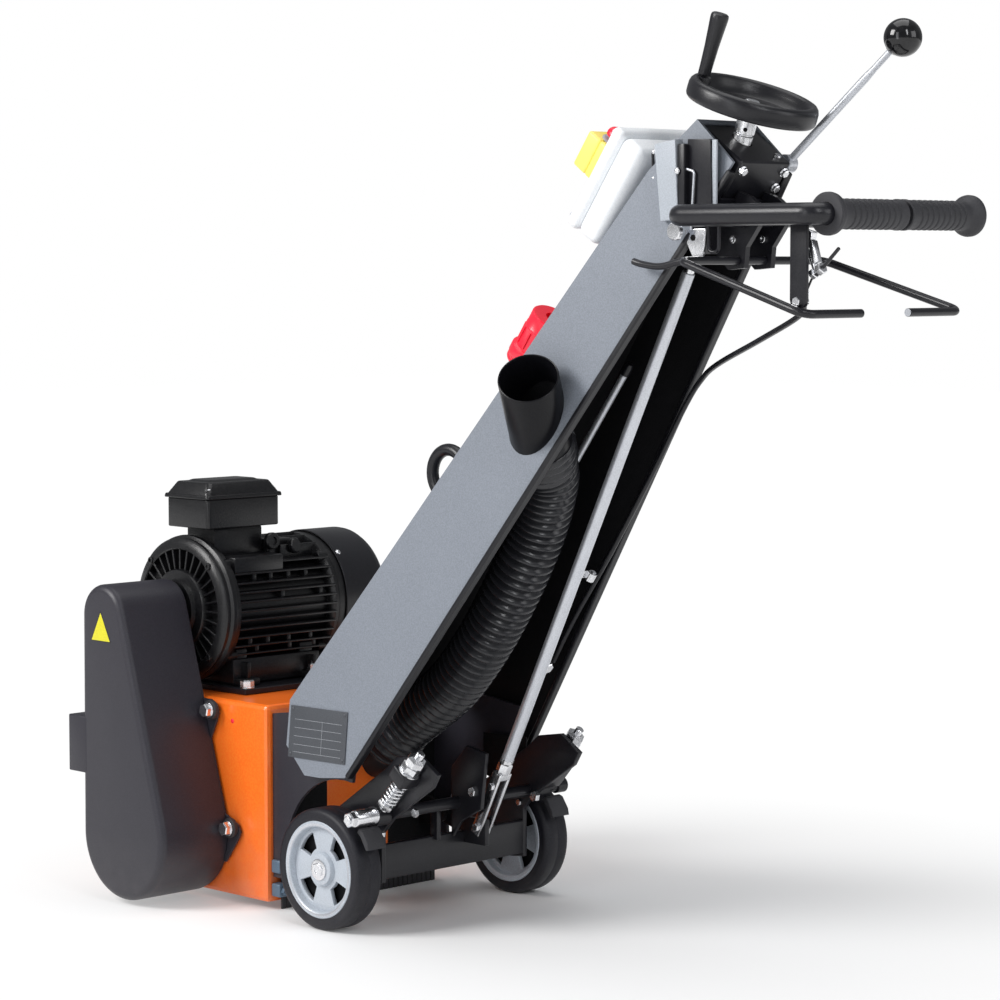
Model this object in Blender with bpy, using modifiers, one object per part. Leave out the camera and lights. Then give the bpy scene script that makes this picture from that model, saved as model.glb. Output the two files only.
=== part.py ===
"""Walk-behind concrete planer with a vacuum port, one object per subcomponent.

The model is drawn about the middle of the wheel axle, on the floor: +X right, +Y the way it drives,
+Z up, metres. The last step moves it so that the origin is the bottom centre of its bounding box.
"""
import math

import bmesh
import bpy
from mathutils import Matrix, Vector

for obj in list(bpy.data.objects):
    bpy.data.objects.remove(obj, do_unlink=True)

# Driving dimensions
GAP = 0.0004
WHEEL_R = 0.080
WHEEL_W = 0.044
WHEEL_X = 0.1725
RIM_R = 0.064
AXLE_Z = WHEEL_R
CHASSIS_X = 0.160
CHASSIS_Y = (0.140, 0.420)
CHASSIS_Z = (0.010, 0.277)
CHASSIS_WALL = 0.008
DRUM_Y = 0.303
DRUM_Z = 0.100
DRUM_HALF = 0.134
ROD_ORBIT = 0.052
CUTTER_R = 0.0355
MOTOR_Y = 0.345
MOTOR_Z = 0.390
MOTOR_R = 0.095
MOTOR_X = -0.015
PULLEY_X = -0.222
PULLEY_W = 0.032
MOTOR_PULLEY_R = 0.030
DRUM_PULLEY_R = 0.052
GUARD_X = (-0.280, -0.167)
GUARD_R_TOP = 0.043
GUARD_R_LOW = 0.087
SWING_Y = 0.100
SWING_Z = 0.105
COLUMN_FOOT = Vector((0.0, -0.023, 0.200))
COLUMN_TILT = math.radians(54.48)
COLUMN_LENGTH = 0.965
COLUMN_WALL = 0.004
COLUMN_HALF_FOOT = 0.167
COLUMN_TAPER = 0.11895
HANDLE_Z = 0.922
HANDLE_R = 0.0125
HANDLE_HALF = 0.152
HANDLE_REAR = -0.791
HANDLE_FRONT = -0.580
LEVER_Y = -0.571
LEVER_Z = 0.870
PORT_R = 0.038
HOSE_R = 0.0385
HANDWHEEL_R = 0.080
HANDWHEEL_LEAN = math.radians(20.0)
SHIFT = Vector((0.042, 0.18425, 0.0))

ALONG = Vector((0.0, -math.cos(COLUMN_TILT), math.sin(COLUMN_TILT)))
FRONT = Vector((0.0, math.sin(COLUMN_TILT), math.cos(COLUMN_TILT)))
RIGHT = Vector((1.0, 0.0, 0.0))

scene = bpy.context.scene
parts = bpy.data.collections.new("concrete_planer")
cutters = bpy.data.collections.new("cutters")
scene.collection.children.link(parts)
scene.collection.children.link(cutters)

COLOURS = {
    "orange": ((0.90, 0.17, 0.02), 0.0, 0.35),
    "black": ((0.020, 0.020, 0.022), 0.0, 0.40),
    "charcoal": ((0.045, 0.045, 0.050), 0.0, 0.45),
    "grey": ((0.235, 0.250, 0.275), 0.2, 0.50),
    "rubber": ((0.030, 0.030, 0.033), 0.0, 0.70),
    "steel": ((0.60, 0.60, 0.62), 1.0, 0.28),
    "plastic": ((0.030, 0.030, 0.032), 0.0, 0.45),
    "white": ((0.80, 0.82, 0.84), 0.0, 0.40),
    "yellow": ((0.90, 0.68, 0.08), 0.0, 0.40),
    "red": ((0.75, 0.02, 0.03), 0.0, 0.35),
    "rim": ((0.30, 0.32, 0.35), 0.4, 0.40),
}


def finish(obj, colour):
    """Gives the object its own Principled material."""
    base, metallic, rough = COLOURS[colour]
    material = bpy.data.materials.new(obj.name)
    material.use_nodes = True
    shader = material.node_tree.nodes["Principled BSDF"]
    shader.inputs["Base Color"].default_value = (*base, 1.0)
    shader.inputs["Metallic"].default_value = metallic
    shader.inputs["Roughness"].default_value = rough
    material.diffuse_color = (*base, 1.0)
    obj.data.materials.clear()
    obj.data.materials.append(material)
    return obj


def frame_to(direction, origin=(0.0, 0.0, 0.0)):
    """Matrix whose Z is the direction."""
    turn = Vector(direction).to_track_quat("Z", "Y").to_matrix().to_4x4()
    return Matrix.Translation(Vector(origin)) @ turn


def add(name, mesh, matrix=None, colour=None):
    obj = bpy.data.objects.new(name, mesh)
    (parts if colour else cutters).objects.link(obj)
    if matrix is not None:
        obj.matrix_world = matrix
    if colour:
        finish(obj, colour)
    else:
        obj.hide_render = True
        obj.display_type = "WIRE"
    return obj


def bevelled(obj, width, segments=2):
    if width:
        mod = obj.modifiers.new("bevel", "BEVEL")
        mod.width = width
        mod.segments = segments
        mod.limit_method = "ANGLE"
        mod.angle_limit = math.radians(40)
    return obj


def box(name, low, high, colour=None, bevel=0.0, segments=2):
    """Axis-aligned block from its low corner to its high corner."""
    low, high = Vector(low), Vector(high)
    mesh = bpy.data.meshes.new(name)
    bm = bmesh.new()
    bmesh.ops.create_cube(bm, size=1.0)
    bmesh.ops.scale(bm, vec=high - low, verts=bm.verts)
    bm.to_mesh(mesh)
    bm.free()
    obj = add(name, mesh, Matrix.Translation((low + high) / 2), colour)
    return bevelled(obj, bevel, segments)


def local_box(name, low, high, matrix, colour=None, bevel=0.0, segments=2):
    """Block in the axes of the matrix."""
    obj = box(name, low, high, colour, bevel, segments)
    obj.matrix_world = matrix @ obj.matrix_world
    return obj


def rod(name, start, end, radius, colour=None, sides=24, radius_end=None):
    """Solid cylinder or cone between two points, with its origin at the start."""
    start, end = Vector(start), Vector(end)
    length = (end - start).length
    mesh = bpy.data.meshes.new(name)
    bm = bmesh.new()
    bmesh.ops.create_cone(
        bm, cap_ends=True, segments=sides, radius1=radius,
        radius2=radius if radius_end is None else radius_end, depth=length,
    )
    bmesh.ops.translate(bm, vec=(0, 0, length / 2), verts=bm.verts)
    bm.to_mesh(mesh)
    bm.free()
    return add(name, mesh, frame_to(end - start, start), colour)


def turned(name, profile, origin, axis, colour=None, sides=32):
    """Body of revolution. The profile is (radius, height) from top to bottom on its outer side."""
    mesh = bpy.data.meshes.new(name)
    ring = [(r, 0.0, h) for r, h in profile]
    closed = profile[0][0] > 1e-9
    edges = [(i, i + 1) for i in range(len(ring) - 1)]
    if closed:
        edges.append((len(ring) - 1, 0))
    mesh.from_pydata(ring, edges, [])
    obj = add(name, mesh, frame_to(axis, origin), colour)
    mod = obj.modifiers.new("spin", "SCREW")
    mod.steps = sides
    mod.render_steps = sides
    mod.use_merge_vertices = True
    mod.merge_threshold = 0.00001
    mod.use_smooth_shade = True
    return obj


def plate(name, outline, thickness, matrix, colour=None, holes=(), bevel=0.0, segments=2):
    """Flat plate: an outline in the matrix's XY plane, centred on that plane, with holes through it."""
    curve = bpy.data.curves.new(name, "CURVE")
    curve.dimensions = "2D"
    curve.fill_mode = "BOTH"
    curve.extrude = thickness / 2
    for loop in [outline, *holes]:
        spline = curve.splines.new("POLY")
        spline.points.add(len(loop) - 1)
        for point, (a, b) in zip(spline.points, loop):
            point.co = (a, b, 0.0, 1.0)
        spline.use_cyclic_u = True
    temporary = bpy.data.objects.new(name + "_curve", curve)
    cutters.objects.link(temporary)
    mesh = bpy.data.meshes.new_from_object(temporary)
    bpy.data.objects.remove(temporary, do_unlink=True)
    weld(mesh)
    obj = add(name, mesh, matrix, colour)
    return bevelled(obj, bevel, segments)


def weld(mesh):
    bm = bmesh.new()
    bm.from_mesh(mesh)
    bmesh.ops.remove_doubles(bm, verts=bm.verts, dist=0.00002)
    bmesh.ops.recalc_face_normals(bm, faces=bm.faces)
    if bm.calc_volume(signed=True) < 0:
        bmesh.ops.reverse_faces(bm, faces=bm.faces)
    bm.to_mesh(mesh)
    bm.free()


def sweep(name, points, radius, colour=None, cyclic=False, resolution=2):
    """Round bar along a path, welded to one closed mesh."""
    curve = bpy.data.curves.new(name, "CURVE")
    curve.dimensions = "3D"
    curve.bevel_depth = radius
    curve.bevel_resolution = resolution
    curve.use_fill_caps = not cyclic
    spline = curve.splines.new("POLY")
    spline.points.add(len(points) - 1)
    for point, co in zip(spline.points, points):
        point.co = (*co, 1.0)
    spline.use_cyclic_u = cyclic
    temporary = bpy.data.objects.new(name + "_curve", curve)
    cutters.objects.link(temporary)
    mesh = bpy.data.meshes.new_from_object(temporary)
    bpy.data.objects.remove(temporary, do_unlink=True)
    weld(mesh)
    return add(name, mesh, None, colour)


def pipe(name, points, outer, inner, colour=None, sides=24):
    """Hollow tube lofted along a path, with flat annular ends."""
    points = [Vector(p) for p in points]
    count = len(points)
    ahead = [(points[min(i + 1, count - 1)] - points[max(i - 1, 0)]).normalized() for i in range(count)]
    side = ahead[0].orthogonal().normalized()
    verts = []
    for i, centre in enumerate(points):
        side = (side - ahead[i] * side.dot(ahead[i])).normalized()
        other = ahead[i].cross(side)
        for radius in (outer, inner):
            for k in range(sides):
                t = 2 * math.pi * k / sides
                verts.append(centre + radius * (math.cos(t) * side + math.sin(t) * other))
    faces = []
    for i in range(count - 1):
        for k in range(sides):
            n = (k + 1) % sides
            a, b = 2 * sides * i, 2 * sides * (i + 1)
            faces.append((a + k, a + n, b + n, b + k))
            faces.append((a + sides + n, a + sides + k, b + sides + k, b + sides + n))
    for k in range(sides):
        n = (k + 1) % sides
        last = 2 * sides * (count - 1)
        faces.append((k, sides + k, sides + n, n))
        faces.append((last + k, last + n, last + sides + n, last + sides + k))
    mesh = bpy.data.meshes.new(name)
    mesh.from_pydata(verts, [], faces)
    weld(mesh)
    return add(name, mesh, None, colour)


def rounded_path(points, radius, steps=5, cyclic=False):
    """The path with each inner corner replaced by an arc."""
    points = [Vector(p) for p in points]
    count = len(points)
    out = []
    for i, corner in enumerate(points):
        if not cyclic and i in (0, count - 1):
            out.append(corner)
            continue
        before = (points[i - 1] - corner).normalized()
        after = (points[(i + 1) % count] - corner).normalized()
        angle = before.angle(after)
        cut = radius / math.tan(angle / 2)
        start, end = corner + before * cut, corner + after * cut
        middle = corner + (before + after).normalized() * (radius / math.sin(angle / 2))
        for k in range(steps + 1):
            t = k / steps
            ray = (start - middle).normalized().slerp((end - middle).normalized(), t)
            out.append(middle + radius * ray)
    return out


def smooth_path(points, count):
    """Catmull-Rom points through the given ones."""
    points = [Vector(p) for p in points]
    padded = [2 * points[0] - points[1], *points, 2 * points[-1] - points[-2]]
    out = []
    for i in range(1, len(padded) - 2):
        a, b, c, d = padded[i - 1:i + 3]
        for k in range(count):
            t = k / count
            out.append(0.5 * (2 * b + (c - a) * t + (2 * a - 5 * b + 4 * c - d) * t * t
                              + (3 * b - a - 3 * c + d) * t ** 3))
    out.append(points[-1])
    return out


def boolean(obj, others, operation):
    for other in others:
        mod = obj.modifiers.new(operation.lower(), "BOOLEAN")
        mod.operation = operation
        mod.solver = "EXACT"
        mod.object = other
    return obj


def cut(obj, *others):
    return boolean(obj, others, "DIFFERENCE")


def join(obj, *others):
    return boolean(obj, others, "UNION")


def circle(radius, count=24, centre=(0.0, 0.0), start=0.0, sweep_angle=None):
    """Points of a circle, or of an arc when the sweep is given."""
    full = sweep_angle is None
    span = 2 * math.pi if full else sweep_angle
    last = count if full else count - 1
    angles = [start + span * k / last for k in range(count)]
    return [(centre[0] + radius * math.cos(t), centre[1] + radius * math.sin(t)) for t in angles]


def hull(c1, r1, c2, r2, count=14):
    """Outline of the belt run round two circles, from the first circle to the second."""
    c1, c2 = Vector(c1), Vector(c2)
    line = c2 - c1
    heading = math.atan2(line.y, line.x)
    lean = math.acos((r1 - r2) / line.length)
    first = circle(r1, count, c1, heading + lean, 2 * math.pi - 2 * lean)
    second = circle(r2, count, c2, heading - lean, 2 * lean)
    return first + second


# YZ plate plane: local X is world Y, local Y is world Z, local Z is world X
def side_plane(x):
    return Matrix(((0, 0, 1, x), (1, 0, 0, 0), (0, 1, 0, 0), (0, 0, 0, 1)))


# Column axes: local X right, local Y the web normal, local Z along the column
COLUMN = Matrix(((1, 0, 0, COLUMN_FOOT.x), (0, FRONT.y, ALONG.y, COLUMN_FOOT.y),
                 (0, FRONT.z, ALONG.z, COLUMN_FOOT.z), (0, 0, 0, 1)))


def on_column(x, depth, along):
    return COLUMN @ Vector((x, depth, along))


def half_width(along):
    return COLUMN_HALF_FOOT - COLUMN_TAPER * along


def tapered(name, outline, inset, colour=None):
    """Loft between the two flange planes. The outline is (depth, along) in the side view."""
    mesh = bpy.data.meshes.new(name)
    left = [(-(half_width(a) - inset), d, a) for d, a in outline]
    right = [(half_width(a) - inset, d, a) for d, a in outline]
    count = len(outline)
    faces = [tuple(range(count)), tuple(range(2 * count - 1, count - 1, -1))]
    faces += [(i, (i + 1) % count, count + (i + 1) % count, count + i) for i in range(count)]
    mesh.from_pydata(left + right, [], faces)
    bm = bmesh.new()
    bm.from_mesh(mesh)
    bmesh.ops.recalc_face_normals(bm, faces=bm.faces)
    bm.to_mesh(mesh)
    bm.free()
    return add(name, mesh, COLUMN.copy(), colour)


# Chassis housing, open below
chassis = box("chassis_frame", (-CHASSIS_X, CHASSIS_Y[0], CHASSIS_Z[0]),
              (CHASSIS_X, CHASSIS_Y[1], CHASSIS_Z[1]), "orange", 0.006)
chamber = box("chamber_cut", (-CHASSIS_X + CHASSIS_WALL, CHASSIS_Y[0] + CHASSIS_WALL, -0.02),
              (CHASSIS_X - CHASSIS_WALL, CHASSIS_Y[1] - CHASSIS_WALL, CHASSIS_Z[1] - CHASSIS_WALL))
shaft_hole = rod("shaft_hole_cut", (-0.2, DRUM_Y, DRUM_Z), (0.2, DRUM_Y, DRUM_Z), 0.0335, sides=24)
PORT_AXIS = Vector((0.0, -0.83, 0.558)).normalized()
PORT_AT = Vector((0.040, 0.140, 0.198))
port_hole = rod("port_hole_cut", PORT_AT + 0.06 * PORT_AXIS, PORT_AT - 0.03 * PORT_AXIS,
                0.0335 + GAP, sides=32)
cut(chassis, chamber, shaft_hole, port_hole)
for side in (-1, 1):
    lug = plate("swing_lug_" + ("left", "right")[side > 0],
                [(CHASSIS_Y[0] + 0.004, SWING_Z - 0.022), (CHASSIS_Y[0] + 0.004, SWING_Z + 0.022),
                 *circle(0.015, 9, (SWING_Y, SWING_Z), math.pi / 2, math.pi)],
                0.006, side_plane(side * 0.1195), None, [circle(0.0062, 16, (SWING_Y, SWING_Z))])
    join(chassis, lug)

skirts = {
    "skirt_front": ((-0.150, 0.4075, 0.0), (0.150, 0.4115, 0.060)),
    "skirt_rear": ((-0.142, 0.1320, 0.0), (0.142, 0.1360, 0.056)),
}
for name, (low, high) in skirts.items():
    box(name, low, high, "rubber", 0.0008, 1)

ARCH_R = 0.113
arch_outline = [(CHASSIS_Y[0] - GAP, 0.045), (CHASSIS_Y[0] - GAP, 0.266), (0.070, 0.276),
                (-0.045, 0.262), (-0.022, 0.206),
                *circle(ARCH_R, 16, (0.0, AXLE_Z), math.radians(100), math.radians(-118))]
for side in (-1, 1):
    plate("arch_plate_" + ("left", "right")[side > 0], arch_outline, 0.005,
          side_plane(side * 0.1480), "black")

turned("dust_port", [(0.0335, 0.058), (0.0335, -0.022), (0.0310, -0.022), (0.0310, 0.058)],
       PORT_AT, PORT_AXIS, "black", 32)

bearing = [(0.052, 0.016), (0.052, 0.0), (0.0150, 0.0), (0.0150, 0.030), (0.031, 0.030), (0.034, 0.016)]
turned("bearing_housing", bearing, (CHASSIS_X + GAP, DRUM_Y, DRUM_Z), (1, 0, 0), "black", 32)

# Drum: shaft, caged body and four cutter stacks
turned("drum_shaft", [(0.0, 0.196), (0.0145, 0.196), (0.0145, -0.250), (0.0, -0.250)],
       (0, DRUM_Y, DRUM_Z), (1, 0, 0), "steel", 24)
disc_profile = circle(0.072, 32)
rod_centres = circle(ROD_ORBIT, 4, (0, 0), math.radians(45))
drum = plate("drum_body", disc_profile, 0.008, side_plane(-DRUM_HALF), "black", [circle(0.0150, 24)])
drum.location += Vector((0, DRUM_Y, DRUM_Z))
end_disc = plate("drum_end_disc", disc_profile, 0.008, side_plane(DRUM_HALF), None, [circle(0.0150, 24)])
end_disc.location += Vector((0, DRUM_Y, DRUM_Z))
drum_rods = [
    rod(f"drum_rod_{i}", (-DRUM_HALF, DRUM_Y + a, DRUM_Z + b), (DRUM_HALF, DRUM_Y + a, DRUM_Z + b), 0.007,
        sides=12)
    for i, (a, b) in enumerate(rod_centres)
]
join(drum, end_disc, *drum_rods)
star = []
for tooth in range(6):
    base = 2 * math.pi * tooth / 6
    star += [(CUTTER_R * math.cos(base - 0.13), CUTTER_R * math.sin(base - 0.13)),
             (CUTTER_R * math.cos(base + 0.13), CUTTER_R * math.sin(base + 0.13)),
             (0.024 * math.cos(base + math.pi / 6), 0.024 * math.sin(base + math.pi / 6))]
for i, (a, b) in enumerate(rod_centres):
    stack = plate(f"cutter_stack_{i + 1}", star, 2 * DRUM_HALF - 0.014, side_plane(0.0), "steel",
                  [circle(0.0085, 12)])
    stack.location += Vector((0, DRUM_Y + a, DRUM_Z + b))

# Belt drive
drum_pulley = turned(
    "drum_pulley",
    [(DRUM_PULLEY_R, PULLEY_W / 2), (DRUM_PULLEY_R, -PULLEY_W / 2), (0.0149, -PULLEY_W / 2),
     (0.0149, PULLEY_W / 2)],
    (PULLEY_X, DRUM_Y, DRUM_Z), (1, 0, 0), "charcoal", 32)
turned("motor_pulley",
       [(MOTOR_PULLEY_R, PULLEY_W / 2), (MOTOR_PULLEY_R, -PULLEY_W / 2), (0.0144, -PULLEY_W / 2),
        (0.0144, PULLEY_W / 2)],
       (PULLEY_X, MOTOR_Y, MOTOR_Z), (1, 0, 0), "charcoal", 32)
top_c, low_c = (MOTOR_Y, MOTOR_Z), (DRUM_Y, DRUM_Z)
guard_low = (DRUM_Y, 0.094)
plate("v_belts", hull(top_c, MOTOR_PULLEY_R + 0.0080, low_c, DRUM_PULLEY_R + 0.0080), 0.026,
      side_plane(PULLEY_X), "rubber", [hull(top_c, MOTOR_PULLEY_R + 0.0006, low_c, DRUM_PULLEY_R + 0.0006)])

guard_outline = hull(top_c, GUARD_R_TOP, guard_low, GUARD_R_LOW)
guard_depth = GUARD_X[1] - GUARD_X[0]
guard = plate("belt_guard", guard_outline, guard_depth, side_plane(sum(GUARD_X) / 2), "charcoal",
              (), 0.010, 3)
guard_hollow = plate("guard_hollow_cut", hull(top_c, GUARD_R_TOP - 0.0022, guard_low, GUARD_R_LOW - 0.0022),
                     guard_depth, side_plane(GUARD_X[0] + 0.0022 + guard_depth / 2))
guard_mouth = box("guard_mouth_cut", (GUARD_X[1] - 0.0005, 0.10, -0.05), (GUARD_X[1] + 0.05, 0.60, 0.60))
guard_tab = box("guard_tab", (GUARD_X[0], 0.380, 0.172), (GUARD_X[0] + 0.040, 0.4185, 0.250), None, 0.002, 1)
join(guard, guard_tab)
cut(guard, guard_hollow, guard_mouth)

ear_1, ear_2 = (0.245, 0.262), (0.206, 0.105)
backplate = plate("guard_backplate", hull(top_c, GUARD_R_TOP - 0.001, guard_low, GUARD_R_LOW - 0.001), 0.003,
                  side_plane(-0.1649), "black",
                  [circle(0.030, 20, top_c), circle(0.0530, 24, low_c)])
ears = [
    box("ear_1", (-0.1664, ear_1[0] - 0.016, ear_1[1] - 0.018),
        (-0.1634, ear_1[0] + 0.080, ear_1[1] + 0.018)),
    box("ear_2", (-0.1664, ear_2[0] - 0.016, ear_2[1] - 0.018),
        (-0.1634, ear_2[0] + 0.030, ear_2[1] + 0.018)),
]
join(backplate, *ears)

# Motor
box("motor_base_plate", (-0.118, 0.235, CHASSIS_Z[1] + GAP), (0.120, 0.415, CHASSIS_Z[1] + 0.0085),
    "black", 0.001, 1)
FOOT_Z = CHASSIS_Z[1] + 0.009
motor = turned("motor_housing", [(MOTOR_R, 0.085), (MOTOR_R, -0.105), (0.072, -0.105), (0.072, 0.085)],
               (MOTOR_X, MOTOR_Y, MOTOR_Z), (1, 0, 0), "black", 40)
feet = []
for i, x in enumerate((-0.090, 0.030)):
    for j, y in enumerate((-0.066, 0.066)):
        feet.append(box(f"motor_foot_{i}{j}", (x - 0.016, MOTOR_Y + y - 0.012, FOOT_Z + 0.002),
                        (x + 0.016, MOTOR_Y + y + 0.012, MOTOR_Z - 0.060)))
    feet.append(box(f"motor_foot_bar_{i}", (x - 0.020, MOTOR_Y - 0.090, FOOT_Z),
                    (x + 0.020, MOTOR_Y + 0.090, FOOT_Z + 0.010)))
pad = box("terminal_pad", (-0.105, 0.315, MOTOR_Z + 0.080), (-0.018, 0.375, 0.5005))
motor_bore = rod("motor_bore_cut", (-0.2, MOTOR_Y, MOTOR_Z), (0.2, MOTOR_Y, MOTOR_Z), 0.072, sides=40)
join(motor, *feet, pad)
cut(motor, motor_bore)
turned("motor_end_shield",
       [(0.102, -0.1055), (0.102, -0.122), (0.093, -0.128), (0.055, -0.131), (0.040, -0.139), (0.0150, -0.139),
        (0.0150, -0.1055)],
       (MOTOR_X, MOTOR_Y, MOTOR_Z), (1, 0, 0), "black", 40)
turned("fan_cover",
       [(0.0, 0.180), (0.080, 0.180), (0.095, 0.168), (0.096, 0.0975), (0.0935, 0.0975), (0.0925, 0.167),
        (0.079, 0.1775), (0.0, 0.1775)],
       (MOTOR_X, MOTOR_Y, MOTOR_Z), (1, 0, 0), "black", 40)
turned("motor_shaft",
       [(0.0, 0.160), (0.0100, 0.160), (0.0100, 0.120), (0.0145, 0.120), (0.0145, 0.070), (0.066, 0.070),
        (0.066, -0.085), (0.0145, -0.085), (0.0145, -0.142), (0.0140, -0.142), (0.0140, -0.229), (0.0, -0.229)],
       (MOTOR_X, MOTOR_Y, MOTOR_Z), (1, 0, 0), "steel", 24)
turned("motor_fan",
       [(0.074, 0.150), (0.078, 0.128), (0.0105, 0.128), (0.0105, 0.150)],
       (MOTOR_X, MOTOR_Y, MOTOR_Z), (1, 0, 0), "plastic", 32)
box("junction_box", (-0.126, 0.302, 0.5010), (-0.001, 0.388, 0.5410), "black", 0.003, 2)
box("junction_box_lid", (-0.132, 0.296, 0.5415), (0.005, 0.394, 0.5630), "black", 0.006, 2)

# Column: tapered channel, open to the rear
column_outline = [(0.0, 0.0), (0.034, -0.030), (0.057, -0.046), (0.108, -0.038), (0.142, 0.011),
                  (0.0985, 0.885), (0.077, COLUMN_LENGTH + 0.009), (0.0, COLUMN_LENGTH)]
column = tapered("column", column_outline, 0.0, "grey")
column_inner = tapered("column_inner_cut",
                       [(-0.05, -0.10), (0.142 - 0.004 + 0.0055, -0.10), (0.142 - 0.004, 0.011),
                        (0.0985 - 0.004, 0.885), (0.077 - 0.004, COLUMN_LENGTH + 0.009), (0.077 - 0.022, 1.05),
                        (-0.05, 1.05)], COLUMN_WALL)
PORT_OUT = Vector((-0.142, -0.335, 0.723))
PORT_DIR = Vector((-0.619, -0.428, 0.658)).normalized()
PORT_IN = PORT_OUT - 0.148 * PORT_DIR
tube_hole = rod("tube_hole_cut", PORT_OUT, PORT_OUT - 0.12 * PORT_DIR, PORT_R + GAP, sides=40)
cut(column, column_inner, tube_hole)
for side in (-1, 1):
    # A strip that caps the flange edge, following the taper
    low, high = on_column(side * (half_width(0.004) - 0.002), -0.0075, 0.004), \
        on_column(side * (half_width(0.955) - 0.002), -0.0075, 0.955)
    axis = (high - low).normalized()
    across = axis.cross(FRONT).normalized()
    matrix = Matrix((
        (across.x, FRONT.x, axis.x, low.x), (across.y, FRONT.y, axis.y, low.y),
        (across.z, FRONT.z, axis.z, low.z), (0, 0, 0, 1)))
    local_box("edge_trim_" + ("left", "right")[side > 0], (-0.006, 0.0, 0.0), (0.006, 0.0071, (high - low).length),
              matrix, "rubber", 0.002, 2)

turned("port_tube", [(PORT_R, 0.0), (PORT_R, -0.148), (PORT_R - 0.0025, -0.148), (PORT_R - 0.0025, 0.0)],
       PORT_OUT, PORT_DIR, "black", 40)
hose_end = PORT_AT + 0.0600 * PORT_AXIS
hose_path = smooth_path([PORT_IN - 0.0045 * PORT_DIR, PORT_IN - 0.045 * PORT_DIR, (0.000, -0.214, 0.538),
                         (0.007, -0.178, 0.480), (0.013, -0.135, 0.420), (0.021, -0.085, 0.362),
                         (0.031, -0.020, 0.302), hose_end + 0.048 * PORT_AXIS, hose_end], 3)
pipe("suction_hose", hose_path, HOSE_R, HOSE_R - 0.0035, "rubber", 20)

head = local_box("head_box", (-0.0445, -0.006, 0.868), (0.0445, 0.0725, 0.9700), COLUMN, "black", 0.002, 1)
head_slot = local_box("head_slot_cut", (-0.040, -0.002, 0.85), (0.040, 0.066, 0.9660), COLUMN)
WHEEL_AXIS = Vector((0.0, -math.sin(HANDWHEEL_LEAN), math.cos(HANDWHEEL_LEAN)))
WHEEL_AT = Vector((0.0, -0.571, 1.065))
spindle_hole = rod("spindle_hole_cut", WHEEL_AT - 0.12 * WHEEL_AXIS, WHEEL_AT, 0.0135, sides=24)
cut(head, head_slot, spindle_hole)

local_box("control_box", (-0.075, 0.1105, 0.762), (0.060, 0.168, 0.905), COLUMN, "white", 0.014, 3)
estop = local_box("estop_box", (-0.045, 0.1685, 0.812), (0.000, 0.222, 0.862), COLUMN, "yellow", 0.003, 2)
button_hole = rod("button_hole_cut", on_column(-0.022, 0.196, 0.870), on_column(-0.022, 0.196, 0.853), 0.0092,
                  sides=20)
cut(estop, button_hole)
turned("estop_button",
       [(0.0, 0.0180), (0.010, 0.0160), (0.0140, 0.0100), (0.0140, 0.0060), (0.0085, 0.0040), (0.0085, 0.0005),
        (0.0, 0.0005)],
       on_column(-0.022, 0.196, 0.8625), ALONG, "red", 24)
turned("main_switch_knob", [(0.0, 0.016), (0.018, 0.015), (0.020, 0.0005), (0.0, 0.0005)],
       on_column(0.030, 0.1685, 0.830), FRONT, "black", 24)
INLET_AT = on_column(0.0, 0.170, 0.612)
inlet_profile = [(0.030, 0.0), (0.030, -0.052), (0.035, -0.052), (0.035, -0.066), (0.027, -0.066),
                 (0.027, -0.012), (0.012, -0.012), (0.012, 0.0)]
inlet = turned("inlet_body", inlet_profile, INLET_AT, ALONG, "red", 32)
inlet_base = local_box("inlet_base", (-0.036, 0.1170, 0.553), (0.036, 0.1440, 0.688), COLUMN, None, 0.003, 2)
join(inlet, inlet_base)
turned("inlet_flap", [(0.0, -0.0670), (0.034, -0.0670), (0.034, -0.0740), (0.030, -0.0780), (0.0, -0.0780)],
       INLET_AT, ALONG, "red", 32)
EYE_AT = on_column(0.0, 0.208, 0.330)
eye_outline = circle(0.040, 28)
eye = plate("lifting_eye", eye_outline, 0.012, side_plane(0.0), "black", [circle(0.023, 24)], 0.002, 1)
eye.location += EYE_AT
join(eye, local_box("eye_foot", (-0.014, 0.1300, 0.312), (0.014, 0.176, 0.348), COLUMN, None, 0.002, 1))
PLATE_LOW, PLATE_HIGH = on_column(-half_width(0.02), 0.0, 0.02), on_column(-half_width(0.20), 0.0, 0.20)
flange_along = (PLATE_HIGH - PLATE_LOW).normalized()
flange_out = flange_along.cross(FRONT).normalized()
if flange_out.x > 0:
    flange_out = -flange_out
plate_up = Vector((0.0, 0.0, 1.0))
plate_up = (plate_up - flange_out * plate_up.dot(flange_out)).normalized()
plate_back = flange_out.cross(plate_up).normalized()
PLATE_AT = on_column(-half_width(0.011), 0.0727, 0.011) + 0.0010 * flange_out
NAMEPLATE = Matrix(((plate_back.x, plate_up.x, flange_out.x, PLATE_AT.x),
                    (plate_back.y, plate_up.y, flange_out.y, PLATE_AT.y),
                    (plate_back.z, plate_up.z, flange_out.z, PLATE_AT.z), (0, 0, 0, 1)))
local_box("nameplate", (-0.052, -0.034, -0.0005), (0.052, 0.034, 0.0005), NAMEPLATE, "charcoal")

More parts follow.
